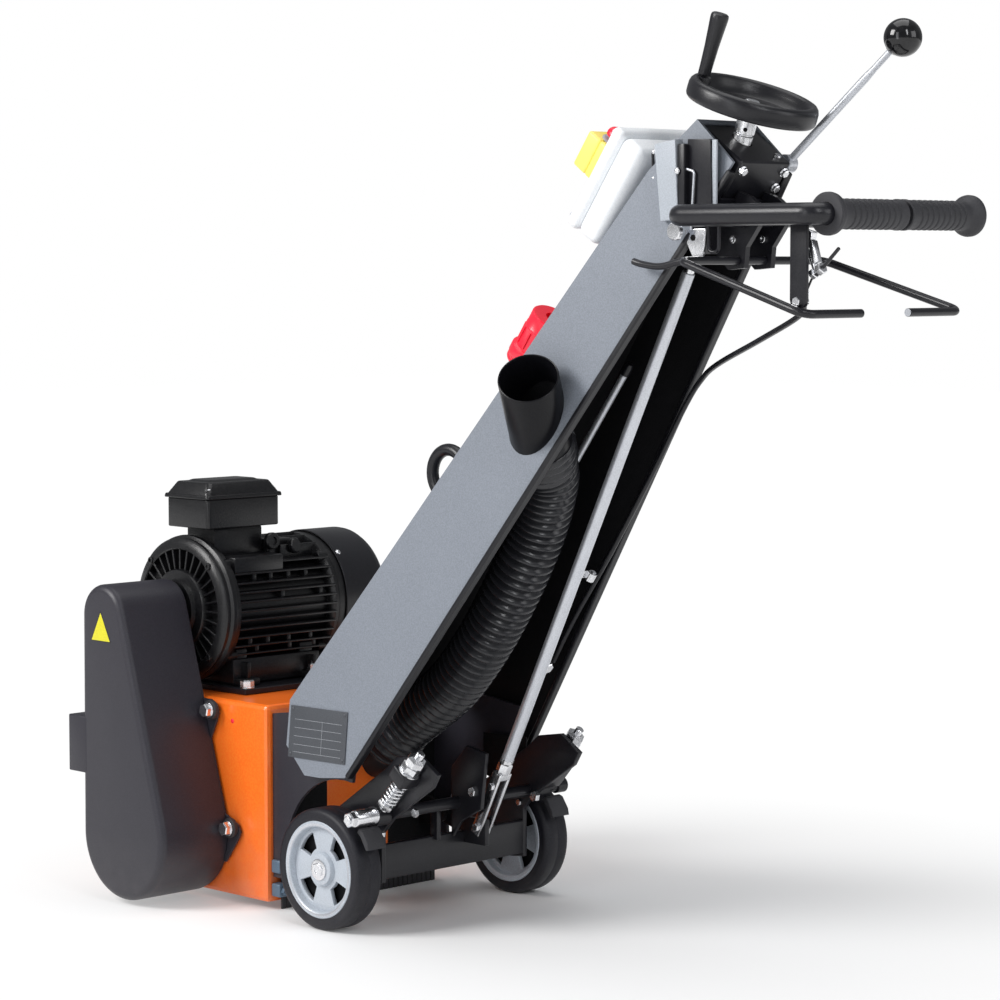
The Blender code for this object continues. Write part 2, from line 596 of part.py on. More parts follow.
# Handlebar and hand lever
handle = rounded_path([(-HANDLE_HALF, HANDLE_FRONT, HANDLE_Z), (-HANDLE_HALF, HANDLE_REAR, HANDLE_Z),
                       (HANDLE_HALF, HANDLE_REAR, HANDLE_Z), (HANDLE_HALF, HANDLE_FRONT, HANDLE_Z)],
                      0.018, 5, True)
sweep("handlebar", handle, HANDLE_R, "black", cyclic=True, resolution=3)
grip = [(0.0245, 0.130), (0.0245, 0.122), (0.0180, 0.116), (0.0175, 0.0), (0.0130, 0.0), (0.0130, 0.130)]
turned("grip_left", grip, (-0.003, HANDLE_REAR, HANDLE_Z), (-1, 0, 0), "rubber", 24)
turned("grip_right", grip, (0.003, HANDLE_REAR, HANDLE_Z), (1, 0, 0), "rubber", 24)
lever = rounded_path([(-0.043, -0.770, 0.810), (-0.145, -0.770, 0.810), (-0.132, LEVER_Y, LEVER_Z),
                      (0.132, LEVER_Y, LEVER_Z), (0.145, -0.770, 0.810), (0.043, -0.770, 0.810)], 0.016, 4)
sweep("hand_lever", lever, 0.005, "black", resolution=2)
lever_mount = local_box("handle_mount", (-0.0555, -0.0130, 0.842), (0.0555, -0.0085, 0.920), COLUMN, "black")
mount_cheek = [(-0.5255, 0.8870), (-0.5560, 0.8590), (-0.5810, 0.8610), (-0.5835, 0.8860), (-0.6020, 0.9100),
               (-0.6050, 0.9340), (-0.5900, 0.9450), (-0.5706, 0.9517)]
join(lever_mount, *[plate(f"mount_cheek_{i}", mount_cheek, 0.008, side_plane(x)) for i, x in enumerate((-0.024, 0.024))])
lever_hole = rod("lever_hole_cut", (-0.1, LEVER_Y, LEVER_Z), (0.1, LEVER_Y, LEVER_Z), 0.0055, sides=16)
tube_saddle = rod("tube_saddle_cut", (-0.1, HANDLE_FRONT, HANDLE_Z), (0.1, HANDLE_FRONT, HANDLE_Z), 0.0129,
                  sides=24)
cut(lever_mount, lever_hole, tube_saddle)

plate("cable_bracket", [(-0.765, 0.814), (-0.741, 0.814), (-0.741, 0.930), (-0.765, 0.930)], 0.005,
      side_plane(-0.1325), "black", (), 0.001, 1)
cable_points = smooth_path([(-0.1255, -0.753, 0.826), (-0.100, -0.727, 0.808), (-0.040, -0.617, 0.777),
                            (0.030, -0.490, 0.744), (0.062, -0.434, 0.722), on_column(0.078, -0.018, 0.610),
                            on_column(0.092, -0.014, 0.500), on_column(0.108, -0.006, 0.360),
                            on_column(0.122, 0.004, 0.240), on_column(0.130, 0.006, 0.160)], 4)
sweep("bowden_cable", cable_points, 0.0035, "rubber", resolution=1)

# Handwheel and crank
turned("handwheel",
       [(0.010, -0.008), (0.028, -0.013), (0.058, -0.013), (0.066, 0.002), (0.071, 0.0060), (0.077, 0.004),
        (0.080, -0.002), (0.0800, -0.014), (0.076, -0.019), (0.058, -0.020), (0.028, -0.020), (0.022, -0.028),
        (0.010, -0.028)],
       WHEEL_AT, WHEEL_AXIS, "plastic", 40)
turned("wheel_spindle",
       [(0.0, -0.0060), (0.0095, -0.0060), (0.0095, -0.029), (0.0125, -0.029), (0.0125, -0.062),
        (0.0080, -0.062), (0.0080, -0.115), (0.0, -0.115)],
       WHEEL_AT, WHEEL_AXIS, "steel", 24)
wheel_forward = Vector((0.0, math.cos(HANDWHEEL_LEAN), math.sin(HANDWHEEL_LEAN)))
GRIP_FOOT = WHEEL_AT - 0.034 * RIGHT + 0.0555 * wheel_forward
turned("crank_grip", [(0.0, 0.083), (0.0095, 0.083), (0.0110, 0.078), (0.0075, 0.0068), (0.0, 0.0068)],
       GRIP_FOOT, WHEEL_AXIS, "plastic", 20)

# Lift lever on the right of the head
LIFT_PIVOT = Vector((0.0630, -0.5700, 0.9865))
BALL_AT = Vector((0.071, -0.737, 1.129))
lever_dir = (BALL_AT - LIFT_PIVOT).normalized()
lift_lever = rod("lift_lever", LIFT_PIVOT + 0.006 * lever_dir, BALL_AT - 0.0200 * lever_dir, 0.0050, "steel",
                 16)
lever_hub = rod("lever_hub", (0.0550, LIFT_PIVOT.y, LIFT_PIVOT.z), (0.0710, LIFT_PIVOT.y, LIFT_PIVOT.z), 0.011,
                sides=20)
join(lift_lever, lever_hub)
turned("lever_ball",
       [(0.0, 0.0225), (0.0086, 0.0208), (0.0159, 0.0159), (0.0208, 0.0086), (0.0225, 0.0), (0.0208, -0.0086),
        (0.0159, -0.0159), (0.0086, -0.0195), (0.0, -0.0195)],
       BALL_AT, lever_dir, "plastic", 28)

# Lift rod with its fork
FORK_PIN = Vector((0.020, -0.088, 0.122))
ROD_TOP = Vector((-0.013, -0.473, 0.842))
rod_dir = (ROD_TOP - FORK_PIN).normalized()
fork_side = (Vector((1, 0, 0)) - rod_dir * rod_dir.x).normalized()
fork_back = rod_dir.cross(fork_side).normalized()
FORK = Matrix(((fork_side.x, fork_back.x, rod_dir.x, FORK_PIN.x),
               (fork_side.y, fork_back.y, rod_dir.y, FORK_PIN.y),
               (fork_side.z, fork_back.z, rod_dir.z, FORK_PIN.z), (0, 0, 0, 1)))
fork = local_box("rod_fork", (-0.011, -0.008, -0.012), (0.011, 0.008, 0.105), FORK, "steel", 0.0015, 1)
fork_slot = local_box("fork_slot_cut", (-0.0065, -0.02, -0.03), (0.0065, 0.02, 0.078), FORK)
cut(fork, fork_slot)
rod("lift_rod", FORK_PIN + 0.1055 * rod_dir, ROD_TOP, 0.0082, "steel", 20)

# Swinging axle frame
cheek_outline = [(0.115, 0.100), (0.112, 0.114), (0.098, 0.120), (0.060, 0.128), (0.030, 0.150),
                 (-0.068, 0.216), (-0.086, 0.231), (-0.128, 0.238), (-0.163, 0.216), (-0.152, 0.198),
                 (-0.077, 0.148), (-0.058, 0.128), (-0.058, 0.062), (0.0, 0.056), (0.090, 0.086),
                 (0.108, 0.090)]
axle = box("axle_frame", (-0.131, -0.0575, 0.066), (0.131, -0.0475, 0.112), "black")
axle_parts = []
for side in (-1, 1):
    tag = ("left", "right")[side > 0]
    axle_parts.append(plate("cheek_" + tag, cheek_outline, 0.008, side_plane(side * 0.130), None,
                            [circle(0.0062, 16, (SWING_Y, SWING_Z))]))
    axle_parts.append(rod("stub_" + tag, (side * 0.128, 0, AXLE_Z), (side * 0.194, 0, AXLE_Z), 0.0080,
                          sides=20))
axle_parts.append(rod("cross_bar", (-0.146, -0.066, 0.154), (0.196, -0.066, 0.154), 0.0080, sides=20))
axle_parts.append(box("beam_rib", (-0.0400, -0.0631, 0.1070), (-0.0320, -0.0500, 0.1530)))
axle_parts.append(box("fork_lug", (FORK_PIN.x - 0.004, FORK_PIN.y - 0.009, 0.096),
                      (FORK_PIN.x + 0.004, -0.050, 0.131)))
rod_plate_outline = [(-0.056, 0.105), (-0.056, 0.200), (-0.085, 0.232), (-0.122, 0.225), (-0.112, 0.150),
                     (-0.075, 0.130)]
axle_parts.append(plate("rod_plate", rod_plate_outline, 0.006, side_plane(-0.004)))
join(axle, *axle_parts)
tyre_profile = [(0.0765, 0.0220), (0.0795, 0.0185), (WHEEL_R, 0.0140), (WHEEL_R, -0.0140), (0.0795, -0.0185),
                (0.0765, -0.0220), (RIM_R + GAP, -0.0220), (RIM_R + GAP, 0.0220)]
rim_profile = [(0.0550, 0.0205), (RIM_R, 0.0215), (RIM_R, -0.0215), (0.0550, -0.0205), (0.0545, -0.0060),
               (0.022, -0.0080), (0.0205, -0.0190), (0.0084, -0.0190), (0.0084, 0.0190), (0.0205, 0.0190),
               (0.022, 0.0080), (0.0545, 0.0060)]
for side in (-1, 1):
    tag = ("left", "right")[side > 0]
    turned("tyre_" + tag, tyre_profile, (side * WHEEL_X, 0, AXLE_Z), (side, 0, 0), "rubber", 40)
    rim = turned("rim_" + tag, rim_profile, (side * WHEEL_X, 0, AXLE_Z), (side, 0, 0), "rim", 40)
    for i in range(4):
        middle = math.radians(45 + 90 * i)
        window = plate(f"window_{tag}_{i}",
                       [*circle(0.050, 5, (0, 0), middle - 0.36, 0.72), *circle(0.028, 4, (0, 0), middle + 0.30, -0.60)],
                       0.06, side_plane(side * WHEEL_X))
        window.location += Vector((0, 0, AXLE_Z))
        cut(rim, window)
bpy.context.view_layer.update()
for obj in bpy.data.objects:
    if obj.parent is None:
        obj.location += SHIFT
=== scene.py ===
"""Detailed model of a walk-behind concrete planer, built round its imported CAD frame."""
import math

import bmesh
import bpy
from mathutils import Matrix, Vector


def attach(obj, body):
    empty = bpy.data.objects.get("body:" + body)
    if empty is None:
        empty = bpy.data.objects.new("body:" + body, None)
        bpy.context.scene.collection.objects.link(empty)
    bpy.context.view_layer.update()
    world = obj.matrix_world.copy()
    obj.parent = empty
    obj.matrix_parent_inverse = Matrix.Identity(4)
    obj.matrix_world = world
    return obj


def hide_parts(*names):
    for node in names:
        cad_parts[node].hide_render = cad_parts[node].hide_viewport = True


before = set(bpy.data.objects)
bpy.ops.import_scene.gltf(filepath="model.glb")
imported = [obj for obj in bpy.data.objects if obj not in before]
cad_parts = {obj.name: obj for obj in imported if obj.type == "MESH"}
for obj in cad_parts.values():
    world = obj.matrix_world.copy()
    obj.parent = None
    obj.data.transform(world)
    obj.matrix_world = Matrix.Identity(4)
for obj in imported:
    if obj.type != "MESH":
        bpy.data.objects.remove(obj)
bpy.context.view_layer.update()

# The drawing's own origin is the floor under the middle of the wheel axle
ORIGIN = Vector((0.042, 0.18425, 0.0))
COLUMN_FOOT = Vector((0.0, -0.023, 0.2))
COLUMN_TILT = math.radians(54.48)
ALONG = Vector((0.0, -math.cos(COLUMN_TILT), math.sin(COLUMN_TILT)))
FRONT = Vector((0.0, math.sin(COLUMN_TILT), math.cos(COLUMN_TILT)))
COLUMN = Matrix(((1, 0, 0, COLUMN_FOOT.x), (0, FRONT.y, ALONG.y, COLUMN_FOOT.y),
    (0, FRONT.z, ALONG.z, COLUMN_FOOT.z), (0, 0, 0, 1)))
X = Vector((1.0, 0.0, 0.0))
Z = Vector((0.0, 0.0, 1.0))

WHEEL_R = 0.08
WHEEL_X = 0.1725
MOTOR = Vector((-0.015, 0.345, 0.39))
DRUM = Vector((0.0, 0.303, 0.1))
GUARD_LOW = (0.303, 0.094)
GUARD_TOP = (0.345, 0.39)
HANDLE_HALF = 0.152
HANDLE_REAR = -0.791
HANDLE_FRONT = -0.58
HANDLE_Z = 0.922
LEVER = Vector((0.0, -0.571, 0.87))
WHEEL_LEAN = math.radians(20.0)
WHEEL_AXIS = Vector((0.0, -math.sin(WHEEL_LEAN), math.cos(WHEEL_LEAN)))
WHEEL_AT = Vector((0.0, -0.571, 1.065))
PORT_OUT = Vector((-0.142, -0.335, 0.723))
PORT_DIR = Vector((-0.619, -0.428, 0.658)).normalized()
PORT_AXIS = Vector((0.0, -0.83, 0.558)).normalized()
PORT_AT = Vector((0.04, 0.14, 0.198))
FORK_PIN = Vector((0.02, -0.088, 0.122))
ROD_TOP = Vector((-0.013, -0.473, 0.842))
LIFT_PIVOT = Vector((0.063, -0.57, 0.9865))
BALL_AT = Vector((0.071, -0.737, 1.129))
AXLE_PIVOT = (0.1, 0.105)  # Y and Z of the pin that the axle frame swings on
LUG_X = 0.1195
CROSS_BAR = (-0.066, 0.154)  # Y and Z of the bar that carries the tie rods
MOTOR_MID = (0, MOTOR.y, MOTOR.z)
DIAGONALS = [(math.cos(math.radians(a)), math.sin(math.radians(a))) for a in (45, 135, 225, 315)]


# ---------------------------------------------------------------- materials
def material(name, base, rough, metallic=0.0, grain=0.0, grain_size=0.0008, tint=0.06, patch=0.04,
        rough_spread=0.08, coat=0.0, dust=0.0, dust_top=0.25, specular=0.5):
    """Principled material with fine grain, slow colour drift and dust that fades upwards."""
    mat = bpy.data.materials.new(name)
    mat.use_nodes = True
    tree = mat.node_tree
    nodes, links = tree.nodes, tree.links
    shader = nodes["Principled BSDF"]
    shader.inputs["Metallic"].default_value = metallic
    shader.inputs["Specular IOR Level"].default_value = specular
    shader.inputs["Coat Weight"].default_value = coat
    shader.inputs["Coat Roughness"].default_value = 0.12
    coords = nodes.new("ShaderNodeTexCoord")

    def noise(size, detail=3.0):
        node = nodes.new("ShaderNodeTexNoise")
        node.inputs["Scale"].default_value = 1.0 / size
        node.inputs["Detail"].default_value = detail
        links.new(coords.outputs["Object"], node.inputs["Vector"])
        return node.outputs["Fac"]

    def ramp(factor, low, high, start, end):
        node = nodes.new("ShaderNodeValToRGB")
        node.color_ramp.elements[0].position = start
        node.color_ramp.elements[1].position = end
        node.color_ramp.elements[0].color = (*low, 1.0)
        node.color_ramp.elements[1].color = (*high, 1.0)
        links.new(factor, node.inputs["Fac"])
        return node.outputs["Color"]

    def mix(factor, first, second):
        node = nodes.new("ShaderNodeMix")
        node.data_type = "RGBA"
        for value, socket in ((factor, "Factor"), (first, "A"), (second, "B")):
            if isinstance(value, tuple):
                node.inputs[socket].default_value = (*value, 1.0)
            elif isinstance(value, float):
                node.inputs[socket].default_value = value
            else:
                links.new(value, node.inputs[socket])
        return node.outputs["Result"]

    def scaled(value, times, plus=0.0):
        node = nodes.new("ShaderNodeMath")
        node.operation = "MULTIPLY_ADD"
        node.use_clamp = True
        links.new(value, node.inputs[0])
        node.inputs[1].default_value = times
        node.inputs[2].default_value = plus
        return node.outputs[0]

    dark = tuple(c * (1 - tint) for c in base)
    light = tuple(min(1.0, c * (1 + tint)) for c in base)
    colour = ramp(noise(patch), dark, light, 0.3, 0.7)
    if grain:
        speck = noise(grain_size * 1.7, 2.0)
        colour = mix(ramp(speck, (0, 0, 0), (1, 1, 1), 0.4, 0.6), colour, mix(0.5, colour,
            tuple(min(1.0, c * 1.35 + 0.01) for c in base)))
    if dust:
        split = nodes.new("ShaderNodeSeparateXYZ")
        links.new(coords.outputs["Object"], split.inputs[0])
        height = scaled(split.outputs["Z"], -1.0 / dust_top, 1.0)
        cloud = scaled(noise(0.03, 5.0), 1.8, -0.45)
        both = nodes.new("ShaderNodeMath")
        both.operation = "MULTIPLY"
        links.new(height, both.inputs[0])
        links.new(cloud, both.inputs[1])
        colour = mix(scaled(both.outputs[0], dust), colour, (0.36, 0.33, 0.3))
    links.new(colour, shader.inputs["Base Color"])
    links.new(scaled(noise(0.012), rough_spread, rough - rough_spread / 2), shader.inputs["Roughness"])
    if grain:
        bump = nodes.new("ShaderNodeBump")
        bump.inputs["Strength"].default_value = grain
        bump.inputs["Distance"].default_value = grain_size * 0.5
        links.new(noise(grain_size), bump.inputs["Height"])
        links.new(bump.outputs["Normal"], shader.inputs["Normal"])
    return mat


LOOKS = {}


def look(key, slot, name, base, rough, **more):
    LOOKS[key] = material(name, base, rough, **more), slot


look("orange", "orange_paint", "gloss_orange", (1.0, 0.165, 0.013), 0.3, grain=0.08, grain_size=0.0016,
    tint=0.03, coat=0.3, dust=0.25, dust_top=0.16)
look("black", "black_paint", "satin_black", (0.0075, 0.0075, 0.0105), 0.3, grain=0.16, tint=0.1, specular=0.42)
# Painted shade: a darker copy of satin black, laid on sheets and discs where the machine is only in shadow
look("inner", "black_paint", "shadow_black", (0.004, 0.004, 0.005), 0.6, grain=0.2, specular=0.15)
look("charcoal", "charcoal_paint", "textured_charcoal", (0.0195, 0.0182, 0.026), 0.42, grain=0.3, tint=0.04,
    dust=0.08, dust_top=0.1)
look("grey", "grey_paint", "textured_grey", (0.186, 0.206, 0.24), 0.48, grain=0.4, grain_size=0.001, tint=0.025,
    patch=0.1, dust=0.08)
look("lightgrey", "grey_paint", "plain_grey", (0.37, 0.4, 0.44), 0.42, grain=0.25, grain_size=0.0009, tint=0.03)
look("motor", "motor_black", "cast_enamel", (0.0032, 0.0032, 0.0042), 0.3, grain=0.35, grain_size=0.0016,
    tint=0.12, rough_spread=0.1, specular=0.46)
look("rubber", "black_rubber", "moulded_rubber", (0.022, 0.022, 0.026), 0.58, grain=0.35, grain_size=0.0006,
    tint=0.1)
look("hose", "black_rubber", "hose_rubber", (0.017, 0.0175, 0.021), 0.24, grain=0.05, grain_size=0.001,
    tint=0.12, rough_spread=0.12)
look("tyre", "tyre_rubber", "tyre_rubber", (0.0075, 0.0075, 0.012), 0.5, grain=0.3, grain_size=0.0009, tint=0.1,
    dust=0.06, dust_top=0.08, specular=0.36)
look("rim", "rim_grey", "cast_rim", (0.44, 0.48, 0.53), 0.42, metallic=0.1, grain=0.25, grain_size=0.0009,
    tint=0.04, dust=0.1, dust_top=0.12)
look("plastic", "black_plastic", "matt_plastic", (0.0055, 0.0055, 0.008), 0.32, grain=0.25, grain_size=0.0005,
    tint=0.08, specular=0.45)
look("duct", "black_plastic", "duct_plastic", (0.002, 0.002, 0.0034), 0.3, grain=0.12, grain_size=0.0006,
    tint=0.08, specular=0.2)
look("ball", "ball_plastic", "polished_ball", (0.003, 0.003, 0.004), 0.1, grain=0.03, grain_size=0.004,
    tint=0.1, coat=0.1)
look("white", "white_plastic", "enclosure_white", (0.8, 0.83, 0.86), 0.42, grain=0.15, grain_size=0.0007,
    tint=0.02)
look("yellow", "yellow_plastic", "switch_yellow", (0.93, 0.74, 0.16), 0.4, grain=0.12, grain_size=0.0006,
    tint=0.03)
look("red", "red_plastic", "moulded_red", (0.86, 0.01, 0.038), 0.32, grain=0.1, grain_size=0.0006, tint=0.05,
    coat=0.2)
look("zinc", "zinc_steel", "bright_zinc", (0.74, 0.75, 0.78), 0.24, metallic=1.0, grain=0.1, grain_size=0.001,
    patch=0.008, rough_spread=0.14)
look("bar", "zinc_steel", "drawn_bar", (0.56, 0.58, 0.62), 0.34, metallic=0.7, grain=0.06, tint=0.04,
    rough_spread=0.12)
look("tool", "tool_steel", "tool_steel", (0.3, 0.29, 0.28), 0.45, metallic=0.9, grain=0.4, grain_size=0.0015,
    tint=0.15, rough_spread=0.2)
look("blue", "black_paint", "clamp_blue", (0.1, 0.15, 0.21), 0.42, metallic=0.3, grain=0.2, tint=0.1)
look("plate", "nameplate_metal", "rating_plate", (0.062, 0.067, 0.077), 0.4, metallic=0.15, grain=0.1,
    grain_size=0.0006, tint=0.04)
look("marks", "nameplate_metal", "plate_marks", (0.4, 0.42, 0.45), 0.45, metallic=0.2, grain=0.1,
    grain_size=0.0005, tint=0.04)
look("sign", "yellow_plastic", "sign_yellow", (0.62, 0.57, 0.01), 0.38, grain=0.08, grain_size=0.0006,
    tint=0.02)


# ---------------------------------------------------------------- mesh helpers
class Shape:
    """Collects closed shapes in the drawing's frame, then becomes one piece."""

    def __init__(self, name, look, body="frame", replaces=(), angle=32):
        self.name, self.look, self.body, self.nodes, self.angle = name, look, body, replaces, angle
        self.bm = bmesh.new()

    def take(self, bm, matrix=None):
        mesh = bpy.data.meshes.new("part")
        if matrix is not None:
            bmesh.ops.transform(bm, matrix=matrix, verts=bm.verts)
        bm.to_mesh(mesh)
        bm.free()
        self.bm.from_mesh(mesh)
        bpy.data.meshes.remove(mesh)
        return self

    def box(self, low, high, bevel=0.001, segments=2, matrix=None):
        low, high = Vector(low), Vector(high)
        bm = bmesh.new()
        bmesh.ops.create_cube(bm, size=1.0)
        bmesh.ops.scale(bm, vec=high - low, verts=bm.verts)
        bmesh.ops.translate(bm, vec=(low + high) / 2, verts=bm.verts)
        if bevel:
            bmesh.ops.bevel(bm, geom=bm.edges[:], offset=bevel, segments=segments, profile=0.5, affect="EDGES",
                clamp_overlap=True)
        return self.take(bm, matrix)

    def turned(self, profile, origin, axis, sides=48, turn=0.0):
        """Revolves (radius, height) points round the axis. A profile that ends on the axis is closed there."""
        bm = bmesh.new()
        rings = []
        for radius, height in profile:
            if radius < 1e-7:
                rings.append([bm.verts.new((0, 0, height))])
            else:
                rings.append([bm.verts.new((radius * math.cos(turn + 2 * math.pi * k / sides),
                    radius * math.sin(turn + 2 * math.pi * k / sides), height)) for k in range(sides)])
        pairs = list(zip(rings, rings[1:]))
        if len(rings[0]) > 1 and len(rings[-1]) > 1:
            pairs.append((rings[-1], rings[0]))
        for first, second in pairs:
            for k in range(sides):
                n = (k + 1) % sides
                corners = [first[k % len(first)], first[n % len(first)], second[n % len(second)],
                    second[k % len(second)]]
                unique = list(dict.fromkeys(corners))
                if len(unique) > 2:
                    bm.faces.new(unique)
        bmesh.ops.recalc_face_normals(bm, faces=bm.faces)
        return self.take(bm, frame_to(axis, origin))

    def lathe(self, profile, origin, axis, sides=48, turn=0.0):
        """Turned shape whose profile is in millimetres."""
        return self.turned([(r / 1000, h / 1000) for r, h in profile], origin, axis, sides, turn)

    def rod(self, start, end, radius, sides=32, chamfer=0.0008):
        start, end = Vector(start), Vector(end)
        length = (end - start).length
        c = min(chamfer, radius * 0.4, length * 0.3)
        profile = [(0, 0), (radius - c, 0), (radius, c), (radius, length - c), (radius - c, length),
            (0, length)]
        return self.turned(profile, start, end - start, sides)

    def pipe(self, points, radius, sides=24, cyclic=False, inner=None):
        """Bar or hollow tube along a path. The radius is a number or one number per point."""
        points = [Vector(p) for p in points]
        count = len(points)
        radii = radius if isinstance(radius, list) else [radius] * count
        if cyclic:
            ahead = [(points[(i + 1) % count] - points[i - 1]).normalized() for i in range(count)]
        else:
            ahead = [(points[min(i + 1, count - 1)] - points[max(i - 1, 0)]).normalized() for i in range(count)]
        side = ahead[0].orthogonal().normalized()
        bm = bmesh.new()
        shells = [radii] if inner is None else [radii, [r - inner for r in radii]]
        rings = [[] for _ in shells]
        for i, centre in enumerate(points):
            side = (side - ahead[i] * side.dot(ahead[i])).normalized()
            other = ahead[i].cross(side)
            for shell, values in enumerate(shells):
                rings[shell].append([bm.verts.new(centre + values[i] * (math.cos(2 * math.pi * k / sides) * side
                    + math.sin(2 * math.pi * k / sides) * other)) for k in range(sides)])
        for shell in rings:
            for i in range(count if cyclic else count - 1):
                first, second = shell[i], shell[(i + 1) % count]
                shift = 0
                if cyclic and i == count - 1:
                    shift = min(range(sides), key=lambda s: (first[0].co - second[s].co).length)
                for k in range(sides):
                    bm.faces.new((first[k], first[(k + 1) % sides], second[(k + 1 + shift) % sides],
                        second[(k + shift) % sides]))
        if not cyclic:
            for end in (0, -1):
                if inner is None:
                    bm.faces.new(rings[0][end])
                else:
                    for k in range(sides):
                        bm.faces.new((rings[0][end][k], rings[0][end][(k + 1) % sides],
                            rings[1][end][(k + 1) % sides], rings[1][end][k]))
        bmesh.ops.recalc_face_normals(bm, faces=bm.faces)
        return self.take(bm)

    def plate(self, outline, thickness, matrix, holes=(), bevel=0.0008):
        """Flat plate with softened edges, centred on the matrix's XY plane."""
        curve = bpy.data.curves.new("outline", "CURVE")
        curve.dimensions = "2D"
        curve.fill_mode = "BOTH"
        curve.extrude = thickness / 2 - bevel
        curve.bevel_depth = bevel
        curve.bevel_resolution = 2
        curve.offset = -bevel
        for loop in [outline, *holes]:
            spline = curve.splines.new("POLY")
            spline.points.add(len(loop) - 1)
            for point, (a, b) in zip(spline.points, loop):
                point.co = (a, b, 0.0, 1.0)
            spline.use_cyclic_u = True
        holder = bpy.data.objects.new("outline", curve)
        mesh = bpy.data.meshes.new_from_object(holder)
        bpy.data.objects.remove(holder)
        bpy.data.curves.remove(curve)
        bm = bmesh.new()
        bm.from_mesh(mesh)
        bpy.data.meshes.remove(mesh)
        bmesh.ops.remove_doubles(bm, verts=bm.verts, dist=0.00001)
        bmesh.ops.recalc_face_normals(bm, faces=bm.faces)
        return self.take(bm, matrix)

    def bolt(self, at, axis, across=0.013, height=0.006, washer=0.0, stub=0.0, turn=0.3):
        """Hexagon head with a chamfered top, on a washer, with an optional thread end."""
        at, axis = Vector(at), Vector(axis).normalized()
        lift = 0.0
        if washer:
            lift = 0.0015
            self.turned([(0, 0), (washer - 0.0003, 0), (washer, 0.0003), (washer, 0.0012),
                (washer - 0.0003, lift), (0, lift)], at, axis, 32)
        r = across / math.sqrt(3)
        self.turned([(0, 0), (r, 0), (r, height * 0.82), (r * 0.86, height), (0, height)], at + axis * lift,
            axis, 6, turn)
        if stub:
            self.thread(at + axis * (lift + height), at + axis * (lift + height + stub), r * 0.52)
        return self

    def thread(self, start, end, radius, pitch=0.0013):
        """Round bar with a row of thread ridges."""
        start, end = Vector(start), Vector(end)
        length = (end - start).length
        turns = max(2, int(length / pitch))
        profile = [(0, 0)]
        for i in range(turns):
            profile += [(radius * 0.88, length * i / turns), (radius, length * (i + 0.5) / turns)]
        profile += [(radius * 0.8, length), (0, length)]
        return self.turned(profile, start, end - start, 20)

    def socket_screw(self, at, axis, radius, height):
        return self.turned([(0, 0), (radius, 0), (radius, height - 0.0006), (radius - 0.0006, height),
            (radius * 0.5, height), (radius * 0.48, height * 0.45), (0, height * 0.45)], at, axis, 24)

    def dome(self, at, axis, radius, height):
        profile = [(radius * math.cos(t), height * math.sin(t)) for t in [math.pi / 2 * k / 6 for k
            in range(6)]]
        return self.turned([(0, 0), *profile, (0, height)], at, axis, 24)

    def done(self):
        bmesh.ops.transform(self.bm, matrix=Matrix.Translation(ORIGIN), verts=self.bm.verts)
        mesh = bpy.data.meshes.new(self.name)
        self.bm.to_mesh(mesh)
        self.bm.free()
        for face in mesh.polygons:
            face.use_smooth = True
        mesh.set_sharp_from_angle(angle=math.radians(self.angle))
        obj = bpy.data.objects.new(self.name, mesh)
        bpy.context.scene.collection.objects.link(obj)
        mat, slot = LOOKS[self.look]
        mesh.materials.append(mat)
        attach(obj, self.body)
        if self.nodes:
            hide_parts(*self.nodes)
        return obj


def frame_to(direction, origin=(0.0, 0.0, 0.0)):
    turn = Vector(direction).to_track_quat("Z", "Y").to_matrix().to_4x4()
    return Matrix.Translation(Vector(origin)) @ turn


def basis(a, b, c, at):
    """Matrix with these three axes and this origin."""
    return Matrix(((a.x, b.x, c.x, at[0]), (a.y, b.y, c.y, at[1]), (a.z, b.z, c.z, at[2]), (0, 0, 0, 1)))


def axes(x_axis, y_axis, origin):
    """Matrix with these first two axes, made square."""
    a = Vector(x_axis).normalized()
    b = (Vector(y_axis) - a * Vector(y_axis).dot(a)).normalized()
    return basis(a, b, a.cross(b), origin)


def side_plane(x):
    """Plate plane whose local X, Y and Z are world Y, Z and X."""
    return Matrix(((0, 0, 1, x), (1, 0, 0, 0), (0, 1, 0, 0), (0, 0, 0, 1)))


def arc(radius, count=24, centre=(0.0, 0.0), start=0.0, span=None):
    last = count if span is None else count - 1
    angles = [start + (2 * math.pi if span is None else span) * k / last for k in range(count)]
    return [(centre[0] + radius * math.cos(t), centre[1] + radius * math.sin(t)) for t in angles]


def hull(c1, r1, c2, r2, count):
    """Outline of a belt stretched round two circles."""
    c1, c2 = Vector(c1), Vector(c2)
    line = c2 - c1
    heading = math.atan2(line.y, line.x)
    lean = math.acos((r1 - r2) / line.length)
    return (arc(r1, count, c1, heading + lean, 2 * math.pi - 2 * lean) + arc(r2, count, c2, heading - lean,
        2 * lean))


def rounded(points, radius, steps=10, cyclic=False):
    """Path with its corners turned into arcs of this radius."""
    points = [Vector(p) for p in points]
    out = []
    for i, corner in enumerate(points):
        if not cyclic and i in (0, len(points) - 1):
            out.append(corner)
            continue
        before = (points[i - 1] - corner).normalized()
        after = (points[(i + 1) % len(points)] - corner).normalized()
        half = before.angle(after) / 2
        start, end = corner + before * radius / math.tan(half), corner + after * radius / math.tan(half)
        middle = corner + (before + after).normalized() * radius / math.sin(half)
        for k in range(steps + 1):
            ray = (start - middle).normalized().slerp((end - middle).normalized(), k / steps)
            out.append(middle + radius * ray)
    return out


def smooth(points, count):
    """Catmull-Rom curve through the points, with this many steps between each two."""
    points = [Vector(p) for p in points]
    padded = [2 * points[0] - points[1], *points, 2 * points[-1] - points[-2]]
    out = []
    for i in range(1, len(padded) - 2):
        a, b, c, d = padded[i - 1:i + 3]
        for k in range(count):
            t = k / count
            out.append(0.5 * (2 * b + (c - a) * t + (2 * a - 5 * b + 4 * c - d) * t * t + (3 * b - a - 3 * c
                + d) * t ** 3))
    out.append(points[-1])
    return out


